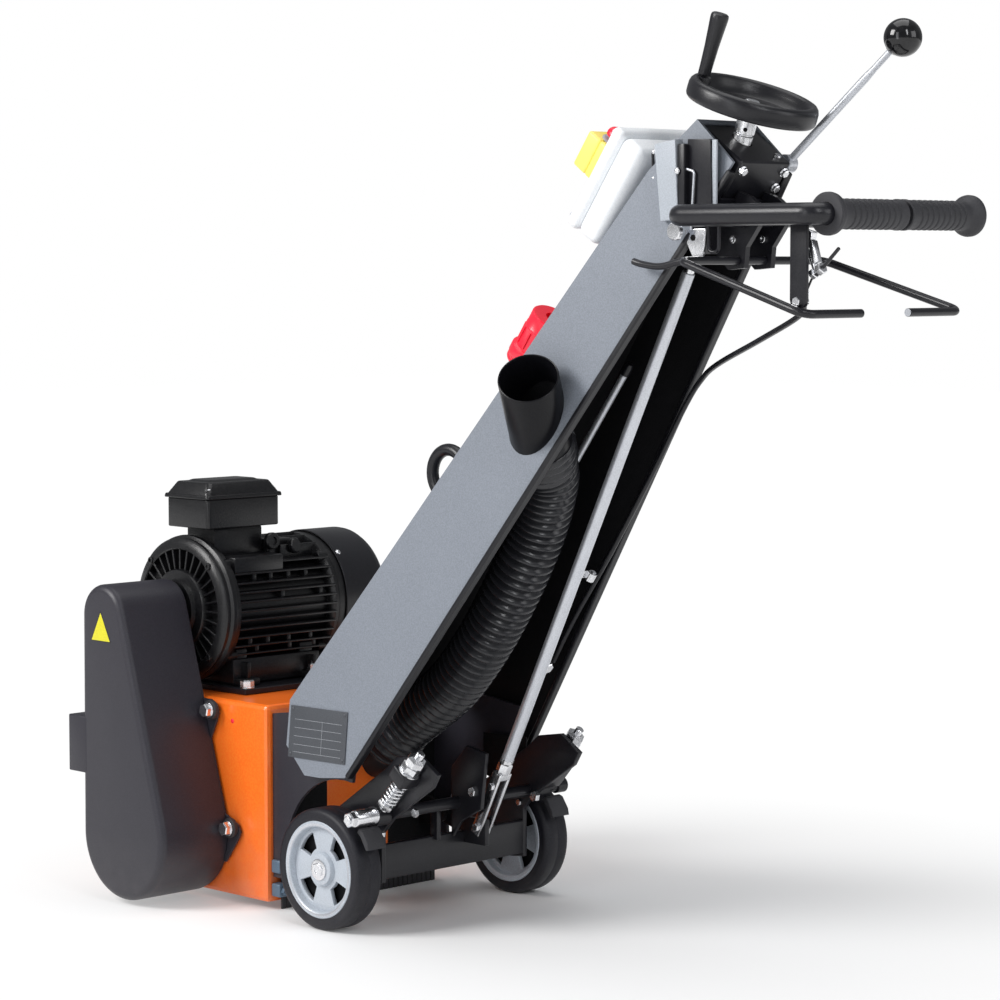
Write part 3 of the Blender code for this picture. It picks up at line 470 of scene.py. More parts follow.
def resample(points, step):
    """Points at equal distances along a path."""
    out, carry = [points[0]], 0.0
    for a, b in zip(points, points[1:]):
        length = (b - a).length
        while carry + length >= step:
            t = (step - carry) / length
            a = a + (b - a) * t
            out.append(a)
            length = (b - a).length
            carry = 0.0
        carry += length
    return out


def on_column(x, depth, along):
    """Point in the column's own axes: across, out from its open back, and up along it."""
    return COLUMN @ Vector((x, depth, along))


def turned_like_column(at):
    return Matrix.Translation(at) @ COLUMN.to_3x3().to_4x4()


def half_width(along):
    return 0.167 - 0.11895 * along


def flange_frame(side, along, depth):
    """Frame on a flange's outer face: X runs back along level, Y up, Z outwards."""
    low, high = on_column(side * half_width(0.02), 0, 0.02), on_column(side * half_width(0.2), 0, 0.2)
    out = (high - low).normalized().cross(FRONT).normalized()
    if out.x * side < 0:
        out = -out
    up = (Z - out * Z.dot(out)).normalized()
    back = up.cross(out).normalized()
    at = on_column(side * half_width(along), depth, along)
    return basis(back, up, out, at)


def in_frame(matrix, x, y, z):
    return matrix @ Vector((x, y, z))


def paint(look, *nodes):
    for node in nodes:
        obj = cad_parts[node]
        obj.data.materials.clear()
        obj.data.materials.append(LOOKS[look][0])


# ---------------------------------------------------------------- camera, light and stage
camera_data = bpy.data.cameras.new("camera")
camera_data.lens = 111.06
camera_data.sensor_width = 36.0
camera_data.clip_end = 60.0
camera = bpy.data.objects.new("camera", camera_data)
bpy.context.scene.collection.objects.link(camera)
camera.location = Vector((-2.8096, -2.9857, 0.8701)) + ORIGIN
heading, pitch = math.radians(45.355), math.radians(-4.44)
aim = Vector((math.cos(pitch) * math.cos(heading), math.cos(pitch) * math.sin(heading), math.sin(pitch)))
camera.rotation_euler = aim.to_track_quat("-Z", "Y").to_euler()
bpy.context.scene.camera = camera
bpy.context.scene.view_settings.view_transform = "Standard"
bpy.context.scene.view_settings.look = "None"


def softbox(name, at, towards, width, height, power, colour=(1.0, 1.0, 1.0)):
    data = bpy.data.lights.new(name, "AREA")
    data.shape = "RECTANGLE"
    data.size, data.size_y = width, height
    data.energy = power
    data.color = colour
    light = bpy.data.objects.new(name, data)
    bpy.context.scene.collection.objects.link(light)
    light.location = Vector(at) + ORIGIN
    light.rotation_euler = (Vector(towards) - Vector(at)).to_track_quat("-Z", "Y").to_euler()


softbox("key", (-3.4, 1.5, 3.0), (0.0, 0.0, 0.4), 2.0, 2.0, 165.0, (1.0, 0.99, 0.98))
softbox("left_fill", (-3.0, -0.9, 1.5), (0.0, 0.1, 0.45), 0.8, 2.2, 15.0, (0.96, 0.97, 1.0))
softbox("front_fill", (0.8, -3.2, 1.8), (0.0, -0.1, 0.5), 1.4, 1.4, 14.0, (0.98, 0.98, 1.0))
softbox("top", (0.2, -0.2, 3.4), (0.0, 0.0, 0.0), 2.4, 2.4, 32.0)
softbox("sheen", (-1.2, -3.4, 2.7), (0.0, -0.4, 0.7), 0.45, 1.8, 24.0, (0.97, 0.98, 1.0))
# The camera sees plain white, while everything else is lit by a dim grey-blue sky
world = bpy.data.worlds.new("studio")
bpy.context.scene.world = world
world.use_nodes = True
backdrop = world.node_tree.nodes["Background"]
backdrop.inputs["Color"].default_value = (1.0, 1.0, 1.0, 1.0)
ambient = world.node_tree.nodes.new("ShaderNodeBackground")
ambient.inputs["Color"].default_value = (0.95, 0.97, 1.0, 1.0)
ambient.inputs["Strength"].default_value = 0.24
seen = world.node_tree.nodes.new("ShaderNodeLightPath")
choose = world.node_tree.nodes.new("ShaderNodeMixShader")
world.node_tree.links.new(seen.outputs["Is Camera Ray"], choose.inputs[0])
world.node_tree.links.new(ambient.outputs[0], choose.inputs[1])
world.node_tree.links.new(backdrop.outputs[0], choose.inputs[2])
world.node_tree.links.new(choose.outputs[0], world.node_tree.nodes["World Output"].inputs["Surface"])

floor_mesh = bpy.data.meshes.new("floor")
floor_mesh.from_pydata([(-14, -14, 0), (14, -14, 0), (14, 14, 0), (-14, 14, 0)], [], [(0, 1, 2, 3)])
floor = bpy.data.objects.new("floor", floor_mesh)
bpy.context.scene.collection.objects.link(floor)
floor_mat = bpy.data.materials.new("pale_floor")
floor_mat.use_nodes = True
floor_tree = floor_mat.node_tree
paint_node = floor_tree.nodes["Principled BSDF"]
paint_node.inputs["Base Color"].default_value = (0.94, 0.94, 0.94, 1.0)
paint_node.inputs["Roughness"].default_value = 0.9
paint_node.inputs["Specular IOR Level"].default_value = 0.1
# Fades from a lit floor under the machine to plain white further out, so no horizon shows
glow = floor_tree.nodes.new("ShaderNodeEmission")
glow.inputs["Strength"].default_value = 1.02
place = floor_tree.nodes.new("ShaderNodeTexCoord")
shift = floor_tree.nodes.new("ShaderNodeVectorMath")
shift.operation = "SUBTRACT"
shift.inputs[1].default_value = (0.15, 0.05, 0.0)
reach = floor_tree.nodes.new("ShaderNodeVectorMath")
reach.operation = "LENGTH"
fade = floor_tree.nodes.new("ShaderNodeMapRange")
fade.interpolation_type = "SMOOTHSTEP"
fade.inputs["From Min"].default_value = 0.15
fade.inputs["From Max"].default_value = 1.1
blend = floor_tree.nodes.new("ShaderNodeMixShader")
floor_tree.links.new(place.outputs["Object"], shift.inputs[0])
floor_tree.links.new(shift.outputs["Vector"], reach.inputs[0])
floor_tree.links.new(reach.outputs["Value"], fade.inputs["Value"])
floor_tree.links.new(fade.outputs["Result"], blend.inputs[0])
floor_tree.links.new(paint_node.outputs[0], blend.inputs[1])
floor_tree.links.new(glow.outputs[0], blend.inputs[2])
floor_tree.links.new(blend.outputs[0], floor_tree.nodes["Material Output"].inputs["Surface"])
floor_mesh.materials.append(floor_mat)

# ---------------------------------------------------------------- CAD nodes that stay
paint("orange", "chassis_frame")
paint("charcoal", "arch_plate_left", "arch_plate_right")
paint("grey", "column")
paint("black", "motor_base_plate", "head_box", "handle_mount", "drum_body")
paint("plastic", "edge_trim_left", "edge_trim_right")
paint("tool", "cutter_stack_1", "cutter_stack_2", "cutter_stack_3", "cutter_stack_4", "drum_shaft",
    "motor_shaft")
paint("charcoal", "drum_pulley", "motor_pulley")
paint("rubber", "v_belts", "motor_fan")


# ---------------------------------------------------------------- skirts under the chassis
def slit_skirt(name, node, y, half, top, flaps):
    low, high = y
    skirt = Shape(name, "rubber", "frame", (node,))
    pitch = 2 * half / flaps
    skirt.box((-half, low, top - 0.016), (half, high, top), 0.0006)
    for i in range(flaps):
        left = -half + i * pitch
        skirt.box((left + 0.0006, low + 0.0004, 0.0005), (left + pitch - 0.0006, high - 0.0004, top - 0.0155),
            0.0005, 1)
    skirt.done()


slit_skirt("skirt_front_strip", "skirt_front", (0.4075, 0.4115), 0.15, 0.06, 34)
slit_skirt("skirt_rear_strip", "skirt_rear", (0.132, 0.136), 0.142, 0.056, 32)

# ---------------------------------------------------------------- belt guard
def guard_ring(x, inset):
    return [(x, a, b) for a, b in hull(GUARD_TOP, 0.043 - inset, GUARD_LOW, 0.087 - inset, 56)]


guard = Shape("belt_guard_shell", "charcoal", "frame", ("belt_guard",), 40)
GUARD_OPEN, GUARD_FACE, GUARD_WALL, GUARD_ROUND = -0.1675, -0.2797, 0.0022, 0.0105
rings = [guard_ring(GUARD_OPEN, 0.0), guard_ring(GUARD_OPEN - 0.001, 0.0)]
for k in range(9):
    t = math.pi / 2 * k / 8
    rings.append(guard_ring(GUARD_FACE + GUARD_ROUND * (1 - math.sin(t)), GUARD_ROUND * (1 - math.cos(t))))
inner = [guard_ring(GUARD_OPEN, GUARD_WALL), guard_ring(GUARD_FACE + GUARD_ROUND, GUARD_WALL),
    guard_ring(GUARD_FACE + GUARD_WALL, GUARD_ROUND)]
bm = bmesh.new()
loops = [[bm.verts.new(p) for p in ring] for ring in [*inner[::-1], *rings]]
for first, second in zip(loops, loops[1:]):
    for k in range(len(first)):
        n = (k + 1) % len(first)
        bm.faces.new((first[k], first[n], second[n], second[k]))
bm.faces.new(loops[0])
bm.faces.new(loops[-1])
bmesh.ops.recalc_face_normals(bm, faces=bm.faces)
guard.take(bm)
guard.box((-0.28, 0.378, 0.172), (-0.24, 0.4185, 0.25), 0.002, 3)
guard.done()

SIGN_FRAME = Matrix.Translation((-0.2796, 0.3445, 0.3735)) @ side_plane(0.0)
Shape("guard_sign_plate", "sign").plate([(-0.02, -0.0165), (0.02, -0.0165), (0.0, 0.0215)], 0.0008, SIGN_FRAME,
    (), 0.0002).done()
Shape("guard_sign_border", "black").plate([(-0.0226, -0.018), (0.0226, -0.018), (0.0, 0.0244)], 0.0006,
    SIGN_FRAME, [[(0.0, 0.0216), (0.0201, -0.0166), (-0.0201, -0.0166)]], 0.00015).done()

back = Shape("guard_back_plate", "charcoal", "frame", ("guard_backplate",))
back.plate(hull(GUARD_TOP, 0.042, GUARD_LOW, 0.086, 40), 0.003, side_plane(-0.1649),
    [arc(0.03, 40, GUARD_TOP)[::-1], arc(0.053, 48, (DRUM.y, DRUM.z))[::-1]], 0.0004)
for ear in ([(0.3, 0.275), (0.25, 0.2755), (0.2385, 0.27), (0.234, 0.258), (0.238, 0.248), (0.252, 0.22),
        (0.3, 0.218)], [(0.25, 0.15), (0.233, 0.127), (0.194, 0.11), (0.1895, 0.1), (0.193, 0.092),
        (0.22, 0.056), (0.25, 0.06)]):
    back.plate(ear, 0.003, side_plane(-0.1649), (), 0.0004)
back.done()

# Bolts through the guard's ears, with black rubber washers
ears = Shape("guard_ear_bolts", "zinc")
pads = Shape("guard_ear_pads", "rubber")
for y, z in ((0.245, 0.262), (0.206, 0.105)):
    pads.lathe([(0, 0), (12.5, 0), (13.5, 1), (13.5, 6), (12, 7.5), (0, 7.5)], (-0.1668, y, z), -X, 32)
    ears.bolt((-0.1743, y, z), -X, 0.0165, 0.0085, 0.0105)
ears.done()
pads.done()

# ---------------------------------------------------------------- chassis fittings
fittings = Shape("chassis_bolts", "zinc")
for y, z in ((0.158, 0.06), (0.4, 0.058), (0.4, 0.245)):
    fittings.dome((0.16, y, z), X, 0.0055, 0.0028)
for side in (-1, 1):
    fittings.bolt((side * (LUG_X + 0.0036), *AXLE_PIVOT), X * side, 0.019, 0.008)
for a, b in DIAGONALS:
    fittings.bolt((0.1764, DRUM.y + 0.043 * a, DRUM.z + 0.043 * b), X, 0.011, 0.006)
fittings.done()

Shape("chassis_rivets", "red").dome((-0.16, 0.212, 0.249), -X, 0.0032, 0.0012).done()

clamps = Shape("skirt_clamps", "blue")
for side in (-1, 1):
    for z in (0.03, 0.062):
        clamps.box((side * 0.147 - 0.008, 0.1215, z - 0.011), (side * 0.147 + 0.008, 0.1392, z + 0.007), 0.0025,
            3)
        clamps.bolt((side * 0.147, 0.1215, z - 0.002), (0, -1, 0), 0.01, 0.005)
clamps.done()

# Painted shade: a black rear wall, black covers over the two lugs, and a black web in the gap at the column's
# foot, darkening surfaces that sit in shadow
painted_shade_wall = Shape("chassis_painted_shade_wall", "inner")
painted_shade_wall.box((-0.118, 0.1378, 0.062), (-0.055, 0.1399, 0.176), 0.0006, 1)
painted_shade_wall.box((0.058, 0.1378, 0.062), (0.159, 0.1399, 0.268), 0.0006, 1)
for side in (-1, 1):
    painted_shade_wall.plate([(0.1396, 0.0825), (0.1396, 0.1275), *arc(0.0154, 12, AXLE_PIVOT, math.pi / 2, math.pi)],
        0.0066, side_plane(side * LUG_X), (), 0.0002)
painted_shade_wall.plate([(0.03, 0.222), (-0.054, 0.224), (-0.052, 0.201), (-0.036, 0.192), (-0.034, 0.168),
    (0.006, 0.157), (0.03, 0.165)], 0.0016, side_plane(0.1375), (), 0.0004)
painted_shade_wall.done()

Shape("bearing_cover", "black", "frame", ("bearing_housing",)).lathe([(15, 0), (50, 0), (52, 2), (52, 14),
    (50, 16), (37, 16), (34, 18), (31, 30), (29, 31), (15, 31)], (0.1603, DRUM.y, DRUM.z), X, 64).done()

# ---------------------------------------------------------------- motor
MOTOR_L, MOTOR_FAR = -0.12, 0.07
CORE_R, FIN_R, FIN = 0.0795, 0.0945, 0.003
motor = Shape("motor_frame", "motor", "frame", ("motor_housing",))
motor.turned([(0, MOTOR_L), (0.093, MOTOR_L), (0.095, MOTOR_L + 0.002), (0.095, MOTOR_L + 0.009),
    (0.0905, MOTOR_L + 0.012), (CORE_R, MOTOR_L + 0.015), (CORE_R, MOTOR_FAR - 0.012),
    (0.089, MOTOR_FAR - 0.01), (0.0935, MOTOR_FAR - 0.006), (0.0935, MOTOR_FAR), (0, MOTOR_FAR)], MOTOR_MID, X,
    96)
for row in range(-5, 6):
    dz = row * 0.0125
    reach = math.sqrt(FIN_R ** 2 - dz ** 2)
    core = math.sqrt(max(0.0, (CORE_R - 0.004) ** 2 - dz ** 2))
    for side in (-1, 1):
        motor.box((MOTOR_L + 0.01, MOTOR.y + min(side * core, side * reach), MOTOR.z + dz - FIN / 2),
            (MOTOR_FAR - 0.004, MOTOR.y + max(side * core, side * reach), MOTOR.z + dz + FIN / 2), 0.0012)
# Upright ribs that tie the fins together, and the cast pads between them
for side in (-1, 1):
    for dz_low, dz_high, spots in ((0.0375, 0.05, (-0.072, -0.042, -0.01, 0.022)),
            (-0.05, -0.0375, (-0.08, -0.048, -0.01, 0.03)), (0.0125, 0.025, (-0.03, 0.04)),
            (-0.0625, -0.05, (-0.06, 0.0, 0.045))):
        for x in spots:
            far = max(abs(dz_low), abs(dz_high))
            low = math.sqrt((CORE_R - 0.006) ** 2 - far ** 2)
            high = math.sqrt(0.0915 ** 2 - far ** 2)
            motor.box((x - 0.0035, MOTOR.y + min(side * low, side * high), MOTOR.z + dz_low),
                (x + 0.0035, MOTOR.y + max(side * low, side * high), MOTOR.z + dz_high), 0.001)
# Upright fins over the crown, each side of the terminal pad
for i in range(5):
    dy = -0.046 + i * 0.023
    reach = math.sqrt(FIN_R ** 2 - dy ** 2)
    motor.box((0.0, MOTOR.y + dy - 0.0018, MOTOR.z + 0.06), (MOTOR_FAR - 0.004, MOTOR.y + dy + 0.0018,
        MOTOR.z + reach), 0.0012)
for side in (-1, 1):
    motor.box((MOTOR_L + 0.012, MOTOR.y + side * 0.058 - 0.02, MOTOR.z + 0.05),
        (-0.02, MOTOR.y + side * 0.058 + 0.012, MOTOR.z + 0.0735), 0.003)
motor.box((-0.105, 0.315, 0.44), (-0.018, 0.375, 0.5005), 0.003)
motor.box((-0.108, 0.272, 0.2868), (0.05, 0.418, 0.322), 0.003)
# Eyebolt boss and its lug beside the pad
motor.box((-0.016, 0.305, 0.455), (0.03, 0.385, 0.4805), 0.004, 3)
for x in (-0.09, 0.03):
    motor.box((x - 0.016, MOTOR.y - 0.0895, 0.2862), (x + 0.016, MOTOR.y + 0.0895, 0.296), 0.0015)
    for side in (-1, 1):
        motor.box((x - 0.012, MOTOR.y + side * 0.06 - 0.007, 0.295), (x + 0.012, MOTOR.y + side * 0.06 + 0.007,
            0.335), 0.002)
        motor.box((x - 0.003, MOTOR.y + side * 0.07 - 0.016, 0.295), (x + 0.003, MOTOR.y + side * 0.07 + 0.016,
            0.318), 0.001)
for cos, sin in DIAGONALS:
    a, b = MOTOR.y + 0.089 * cos, MOTOR.z + 0.089 * sin
    motor.rod((MOTOR_L + 0.0005, a, b), (MOTOR_L + 0.022, a, b), 0.0085)
    motor.rod((MOTOR_FAR - 0.018, a, b), (MOTOR_FAR, a, b), 0.0075)
motor.done()

shield = Shape("motor_end_flange", "motor", "frame", ("motor_end_shield",))
shield.lathe([(15.8, -120.5), (99, -120.5), (101, -121.5), (101.5, -125), (101, -128.5), (98.5, -130),
    (97, -131.2), (96.8, -133.8), (98, -135), (98.2, -137.5), (96, -140.2), (90, -143), (84, -144),
    (82.5, -142.5), (81.5, -133), (56, -131), (55, -144), (53.5, -146.5), (41, -148), (39.5, -154), (16, -154)],
    MOTOR_MID, X, 96)
RIBS = 32
for k in range(RIBS):
    turn = Matrix.Translation(MOTOR_MID) @ Matrix.Rotation(2 * math.pi * k / RIBS, 4, "X")
    shield.box((-0.1425, 0.0545, -0.0014), (-0.131, 0.0825, 0.0014), 0.0006, 1, turn)
shield.done()
flange_bolts = Shape("motor_flange_bolts", "motor")
for a, b in DIAGONALS:
    flange_bolts.socket_screw((-0.1398, MOTOR.y + 0.0885 * a, MOTOR.z + 0.0885 * b), -X, 0.005, 0.0055)
flange_bolts.done()

cover = Shape("motor_fan_cover", "black", "frame", ("fan_cover",))
cover.lathe([(94.3, 83), (95, 82.5), (96, 83.5), (96, 148), (94.8, 154.5), (91.5, 160), (86, 163.6),
    (80, 164.8), (76, 164.8), (76, 163), (80, 162.9), (85, 161.6), (89.8, 158.2), (92.8, 153.5), (94.2, 148)],
    MOTOR_MID, X, 96)
for radius in (0.0225, 0.0345, 0.0465, 0.0585, 0.0705):
    cover.turned([(radius - 0.0026, 0.1632), (radius - 0.0022, 0.1628), (radius + 0.0022, 0.1628),
        (radius + 0.0026, 0.1632), (radius + 0.0026, 0.1644), (radius + 0.0022, 0.1648),
        (radius - 0.0022, 0.1648), (radius - 0.0026, 0.1644)], MOTOR_MID, X, 64)
cover.lathe([(0, 162.8), (11, 162.8), (11.6, 163.4), (11.6, 164.2), (11, 164.8), (0, 164.8)], MOTOR_MID, X, 48)
for k in range(8):
    turn = Matrix.Translation(MOTOR_MID) @ Matrix.Rotation(2 * math.pi * (k + 0.5) / 8, 4, "X")
    cover.box((0.1629, 0.01, -0.0022), (0.1647, 0.0775, 0.0022), 0.0004, 1, turn)
cover.done()
cover_screws = Shape("fan_cover_screws", "zinc")
for a, b in DIAGONALS:
    out = Vector((0, a, b))
    cover_screws.dome(Vector((0.09, MOTOR.y, MOTOR.z)) + out * 0.0958, out, 0.0042, 0.0022)
cover_screws.done()
Shape("motor_rear_ring", "motor").lathe([(14.6, 70.3), (90, 70.3), (92.5, 71.5), (93.2, 81), (92, 86), (30, 90),
    (15, 90)], MOTOR_MID, X, 96).done()

feet = Shape("motor_foot_bolts", "zinc")
for x in (-0.09, 0.03):
    for side in (-1, 1):
        if (x, side) != (-0.09, -1):
            feet.bolt((x, MOTOR.y + side * 0.082, 0.296), Z, 0.013, 0.008, 0.0095, 0.004)
for x, y in ((-0.1047, 0.2464), (0.106, 0.25), (0.106, 0.4)):
    feet.bolt((x, y, 0.2855), Z, 0.0165, 0.0095, 0.0105)
feet.done()

# Terminal box: plain body, and a lid with sloping sides and a boss at each corner
def tapered_box(shape, low, high, top_inset, bevel):
    low, high = Vector(low), Vector(high)
    bm = bmesh.new()
    bmesh.ops.create_cube(bm, size=1.0)
    middle, half = (low + high) / 2, (high - low) / 2
    for v in bm.verts:
        inset = top_inset if v.co.z > 0 else 0.0
        sign_x, sign_y, sign_z = (1 if c > 0 else -1 for c in v.co)
        v.co = Vector((middle.x + sign_x * (half.x - inset), middle.y + sign_y * (half.y - inset),
            middle.z + sign_z * half.z))
    upright = [e for e in bm.edges if abs(e.verts[0].co.z - e.verts[1].co.z) > 1e-4]
    bmesh.ops.bevel(bm, geom=upright, offset=bevel * 3.0, segments=6, profile=0.5, affect="EDGES",
        clamp_overlap=True)
    level = [e for e in bm.edges if abs(e.verts[0].co.z - e.verts[1].co.z) < 1e-5]
    bmesh.ops.bevel(bm, geom=level, offset=bevel, segments=3, profile=0.5, affect="EDGES", clamp_overlap=True)
    shape.take(bm)


terminal = Shape("terminal_box", "motor", "frame", ("junction_box",))
tapered_box(terminal, (-0.1282, 0.2998, 0.5012), (0.0012, 0.3902, 0.542), 0.0, 0.002)
terminal.done()
lid = Shape("terminal_box_lid", "motor", "frame", ("junction_box_lid",))
tapered_box(lid, (-0.1318, 0.2962, 0.542), (0.0048, 0.3938, 0.5478), 0.001, 0.0016)
tapered_box(lid, (-0.1295, 0.2985, 0.5465), (0.0025, 0.3915, 0.5645), 0.0105, 0.0022)
tapered_box(lid, (-0.113, 0.315, 0.563), (-0.014, 0.375, 0.5672), 0.009, 0.0014)
LID_CORNERS = [(a, b) for b in (0.3085, 0.3815) for a in (-0.1195, -0.0075)]
for sx, sy in LID_CORNERS:
    lid.rod((sx, sy, 0.547), (sx, sy, 0.553), 0.0068)
lid.done()
lid_screws = Shape("terminal_box_screws", "zinc")
for sx, sy in LID_CORNERS:
    lid_screws.socket_screw((sx, sy, 0.553), Z, 0.0042, 0.003)
lid_screws.done()
Shape("terminal_gland", "plastic").lathe([(0, 0), (12.5, 0), (12.5, 5), (13.5, 5.5), (13.5, 14), (11.5, 15),
    (10.5, 24), (8.5, 27), (0, 27)], (-0.064, 0.3895, 0.521), (0, 1, 0), 12).done()
plugs = Shape("terminal_plugs", "motor")
plugs.lathe([(0, 0), (12, 0), (12, 6), (10.5, 7.5), (6, 7.5), (5.5, 5), (0, 5)], (-0.012, 0.305, 0.478),
    (0.0, -1.0, 0.1), 28)
plugs.lathe([(0, 0), (11, 0), (11, 5), (9.5, 6.5), (0, 6.5)], (0.022, 0.296, 0.47), (0.25, -1.0, 0.2), 28)
plugs.done()

# ---------------------------------------------------------------- duct
Shape("vacuum_port", "duct", "frame", ("port_tube",)).lathe([(35.5, -147), (36.2, -148), (38, -147.5),
    (38, 5.4), (37.6, 6.6), (36.8, 7), (36.1, 6.6), (35.5, 5.4)], PORT_OUT, PORT_DIR, 96).done()

Shape("chassis_duct", "black", "frame", ("dust_port",)).lathe([(31, -22), (33.5, -22), (33.5, 57), (33, 58),
    (31.4, 58), (31, 57)], PORT_AT, PORT_AXIS, 64).done()

port_in = PORT_OUT - 0.148 * PORT_DIR
hose_end = PORT_AT + 0.016 * PORT_AXIS
HOSE_R, RIB, HOSE_PITCH, HOSE_STEP = 0.0328, 0.0062, 0.0126, 0.0014
hose_line = resample(smooth([port_in + 0.03 * PORT_DIR, port_in - 0.0045 * PORT_DIR, port_in - 0.045 * PORT_DIR,
    (0.0, -0.214, 0.538), (0.007, -0.178, 0.48), (0.013, -0.135, 0.42), (0.021, -0.085, 0.362),
    (0.031, -0.02, 0.302), hose_end + 0.092 * PORT_AXIS, hose_end + 0.044 * PORT_AXIS, hose_end], 40),
    HOSE_STEP)
hose_radii = []
for i in range(len(hose_line)):
    phase = (i * HOSE_STEP / HOSE_PITCH) % 1.0
    swell = 0.5 - 0.5 * math.cos(2 * math.pi * phase)
    # Each end is stretched over the tube that it sits on
    over_tube = max(0.0, min(1.0, (0.05 - i * HOSE_STEP) / 0.012))
    over_dust_port = max(0.0, min(1.0, (0.056 - (len(hose_line) - 1 - i) * HOSE_STEP) / 0.012))
    hose_radii.append(HOSE_R + 0.0064 * over_tube + 0.0026 * over_dust_port + (RIB - 0.0022 * over_tube)
        * swell ** 0.7)
Shape("suction_hose_ribbed", "hose", "frame", ("suction_hose",), 60).pipe(hose_line, hose_radii, 56,
    inner=0.0012).done()
Shape("hose_clamps", "black").lathe([(38.6, -5), (39.5, -4.7), (39.5, 4.7), (38.6, 5)], hose_line[-9],
    PORT_AXIS, 64).done()

# ---------------------------------------------------------------- lifting eye
EYE_AT = on_column(0.0, 0.208, 0.33)
eye = Shape("lifting_eye_ring", "plastic", "frame", ("lifting_eye",))
eye.pipe([EYE_AT + Vector((0, a, b)) for a, b in arc(0.0315, 48)], 0.0083, 24, True)
eye.lathe([(0, 131), (20, 131), (20.5, 132), (20.5, 140), (19.5, 142), (13, 146), (10.5, 158), (11, 176),
    (0, 179)], on_column(0, 0, 0.33), FRONT, 40)
eye.done()

# ---------------------------------------------------------------- nameplate: rules only, no lettering
PLATE = flange_frame(-1, 0.011, 0.0727) @ Matrix.Translation((0, 0, 0.001))
Shape("rating_plate", "plate", "frame", ("nameplate",)).plate([(-0.052, -0.034), (0.052, -0.034),
    (0.052, 0.034), (-0.052, 0.034)], 0.001, PLATE, (), 0.0002).done()
rules = Shape("rating_plate_rules", "marks")
for y in (0.0165, 0.0055, -0.0055, -0.0165, -0.0265):
    rules.box((-0.043, y - 0.00018, 0.0004), (0.043, y + 0.00018, 0.00062), 0.0, 1, PLATE)
rules.box((0.0075, -0.0265, 0.0004), (0.0078, 0.0165, 0.00062), 0.0, 1, PLATE)
rules.done()
rivets = Shape("rating_plate_screws", "plate")
for a in (-0.0475, 0.0475):
    for b in (-0.0295, 0.0295):
        rivets.dome(PLATE @ Vector((a, b, 0.0005)), PLATE.to_3x3() @ Z, 0.0024, 0.0012)
rivets.done()

# ---------------------------------------------------------------- controls on the column's front
STOP_AT = (-0.022, 0.196)
SWITCH_AT = on_column(0.03, 0.1685, 0.83)


def column_box(shape, low, high, bevel, segments=4):
    shape.box(low, high, bevel, segments, COLUMN)


enclosure = Shape("control_enclosure", "white", "frame", ("control_box",))
column_box(enclosure, (-0.0735, 0.1107, 0.764), (0.0585, 0.148, 0.903), 0.011, 5)
column_box(enclosure, (-0.075, 0.1475, 0.762), (0.06, 0.168, 0.905), 0.008, 5)
enclosure.done()
seals = Shape("control_enclosure_screws", "lightgrey")
for a in (-0.064, 0.049):
    for b in (0.773, 0.894):
        seals.socket_screw(on_column(a, 0.168, b), FRONT, 0.005, 0.0022)
seals.done()
stop = Shape("stop_housing", "yellow", "frame", ("estop_box",))
column_box(stop, (-0.045, 0.1685, 0.812), (0.0, 0.199, 0.8618), 0.0035)
column_box(stop, (-0.045, 0.1986, 0.812), (0.0, 0.222, 0.8618), 0.0035)
stop.done()
stop_ring = Shape("stop_collar", "lightgrey")
stop_ring.lathe([(9.2, 0), (16, 0), (16.6, 0.4), (16.6, 0.6), (15.8, 0.9), (9.2, 0.9)],
    on_column(*STOP_AT, 0.8619), ALONG, 48)
# The mushroom is hollow below, so it slides down over this neck
stop_ring.lathe([(0, 0), (7.2, 0), (7.2, 5.8), (0, 5.8)], on_column(*STOP_AT, 0.8619), ALONG, 32)
stop_ring.done()
Shape("stop_mushroom", "red", "estop_button", ("estop_button",)).lathe([(0, 10.2), (8, 10.2), (8, 4.4),
    (8.6, 4.2), (12.8, 5.6), (13.9, 6.6), (14, 9.8), (13.2, 12.5), (11.2, 15), (8, 16.8), (4, 17.8), (0, 18)],
    on_column(*STOP_AT, 0.8625), ALONG, 48).done()
knob = Shape("main_switch_handle", "plastic", "main_switch", ("main_switch_knob",))
knob.lathe([(0, 0.5), (19, 0.5), (20, 1.5), (19.6, 4), (18.5, 4.8), (15, 5.2), (14, 13), (13, 14.2), (0, 14.2)],
    SWITCH_AT, FRONT, 48)
knob_frame = turned_like_column(SWITCH_AT)
knob.box((-0.0035, 0.006, -0.0185), (0.0035, 0.016, 0.0185), 0.002, 3, knob_frame)
knob.done()
Shape("main_switch_mark", "white", "main_switch").box((-0.0008, 0.0154, 0.007), (0.0008, 0.01615, 0.017),
    0.0003, 1, knob_frame).done()

INLET_AT = on_column(0.0, 0.17, 0.612)
INLET_FRAME = frame_to(ALONG, INLET_AT)
socket = Shape("power_inlet", "red", "frame", ("inlet_body",))
column_box(socket, (-0.036, 0.117, 0.553), (0.036, 0.144, 0.688), 0.005)
socket.lathe([(12, 0), (28.5, 0), (30, -1.5), (30, -18), (30.6, -19), (30.6, -21.5), (30, -22.5), (30, -50),
    (34, -52.2), (35, -53.5), (35, -64.5), (34.2, -66), (27.5, -66), (27, -65), (27, -12), (12, -12)], INLET_AT,
    ALONG, 64)
for k in range(12):
    turn = INLET_FRAME @ Matrix.Rotation(2 * math.pi * k / 12, 4, "Z")
    socket.box((0.029, -0.0014, -0.048), (0.0318, 0.0014, -0.024), 0.001, 2, turn)
column_box(socket, (-0.011, 0.14, 0.57), (0.011, 0.148, 0.608), 0.003)
socket.done()
pins = Shape("power_inlet_pins", "zinc")
for a, b in arc(0.016, 5):
    pins.rod(in_frame(INLET_FRAME, a, b, -0.012), in_frame(INLET_FRAME, a, b, -0.048), 0.003)
pins.done()
flap = Shape("power_inlet_cap", "red", "inlet_flap", ("inlet_flap",))
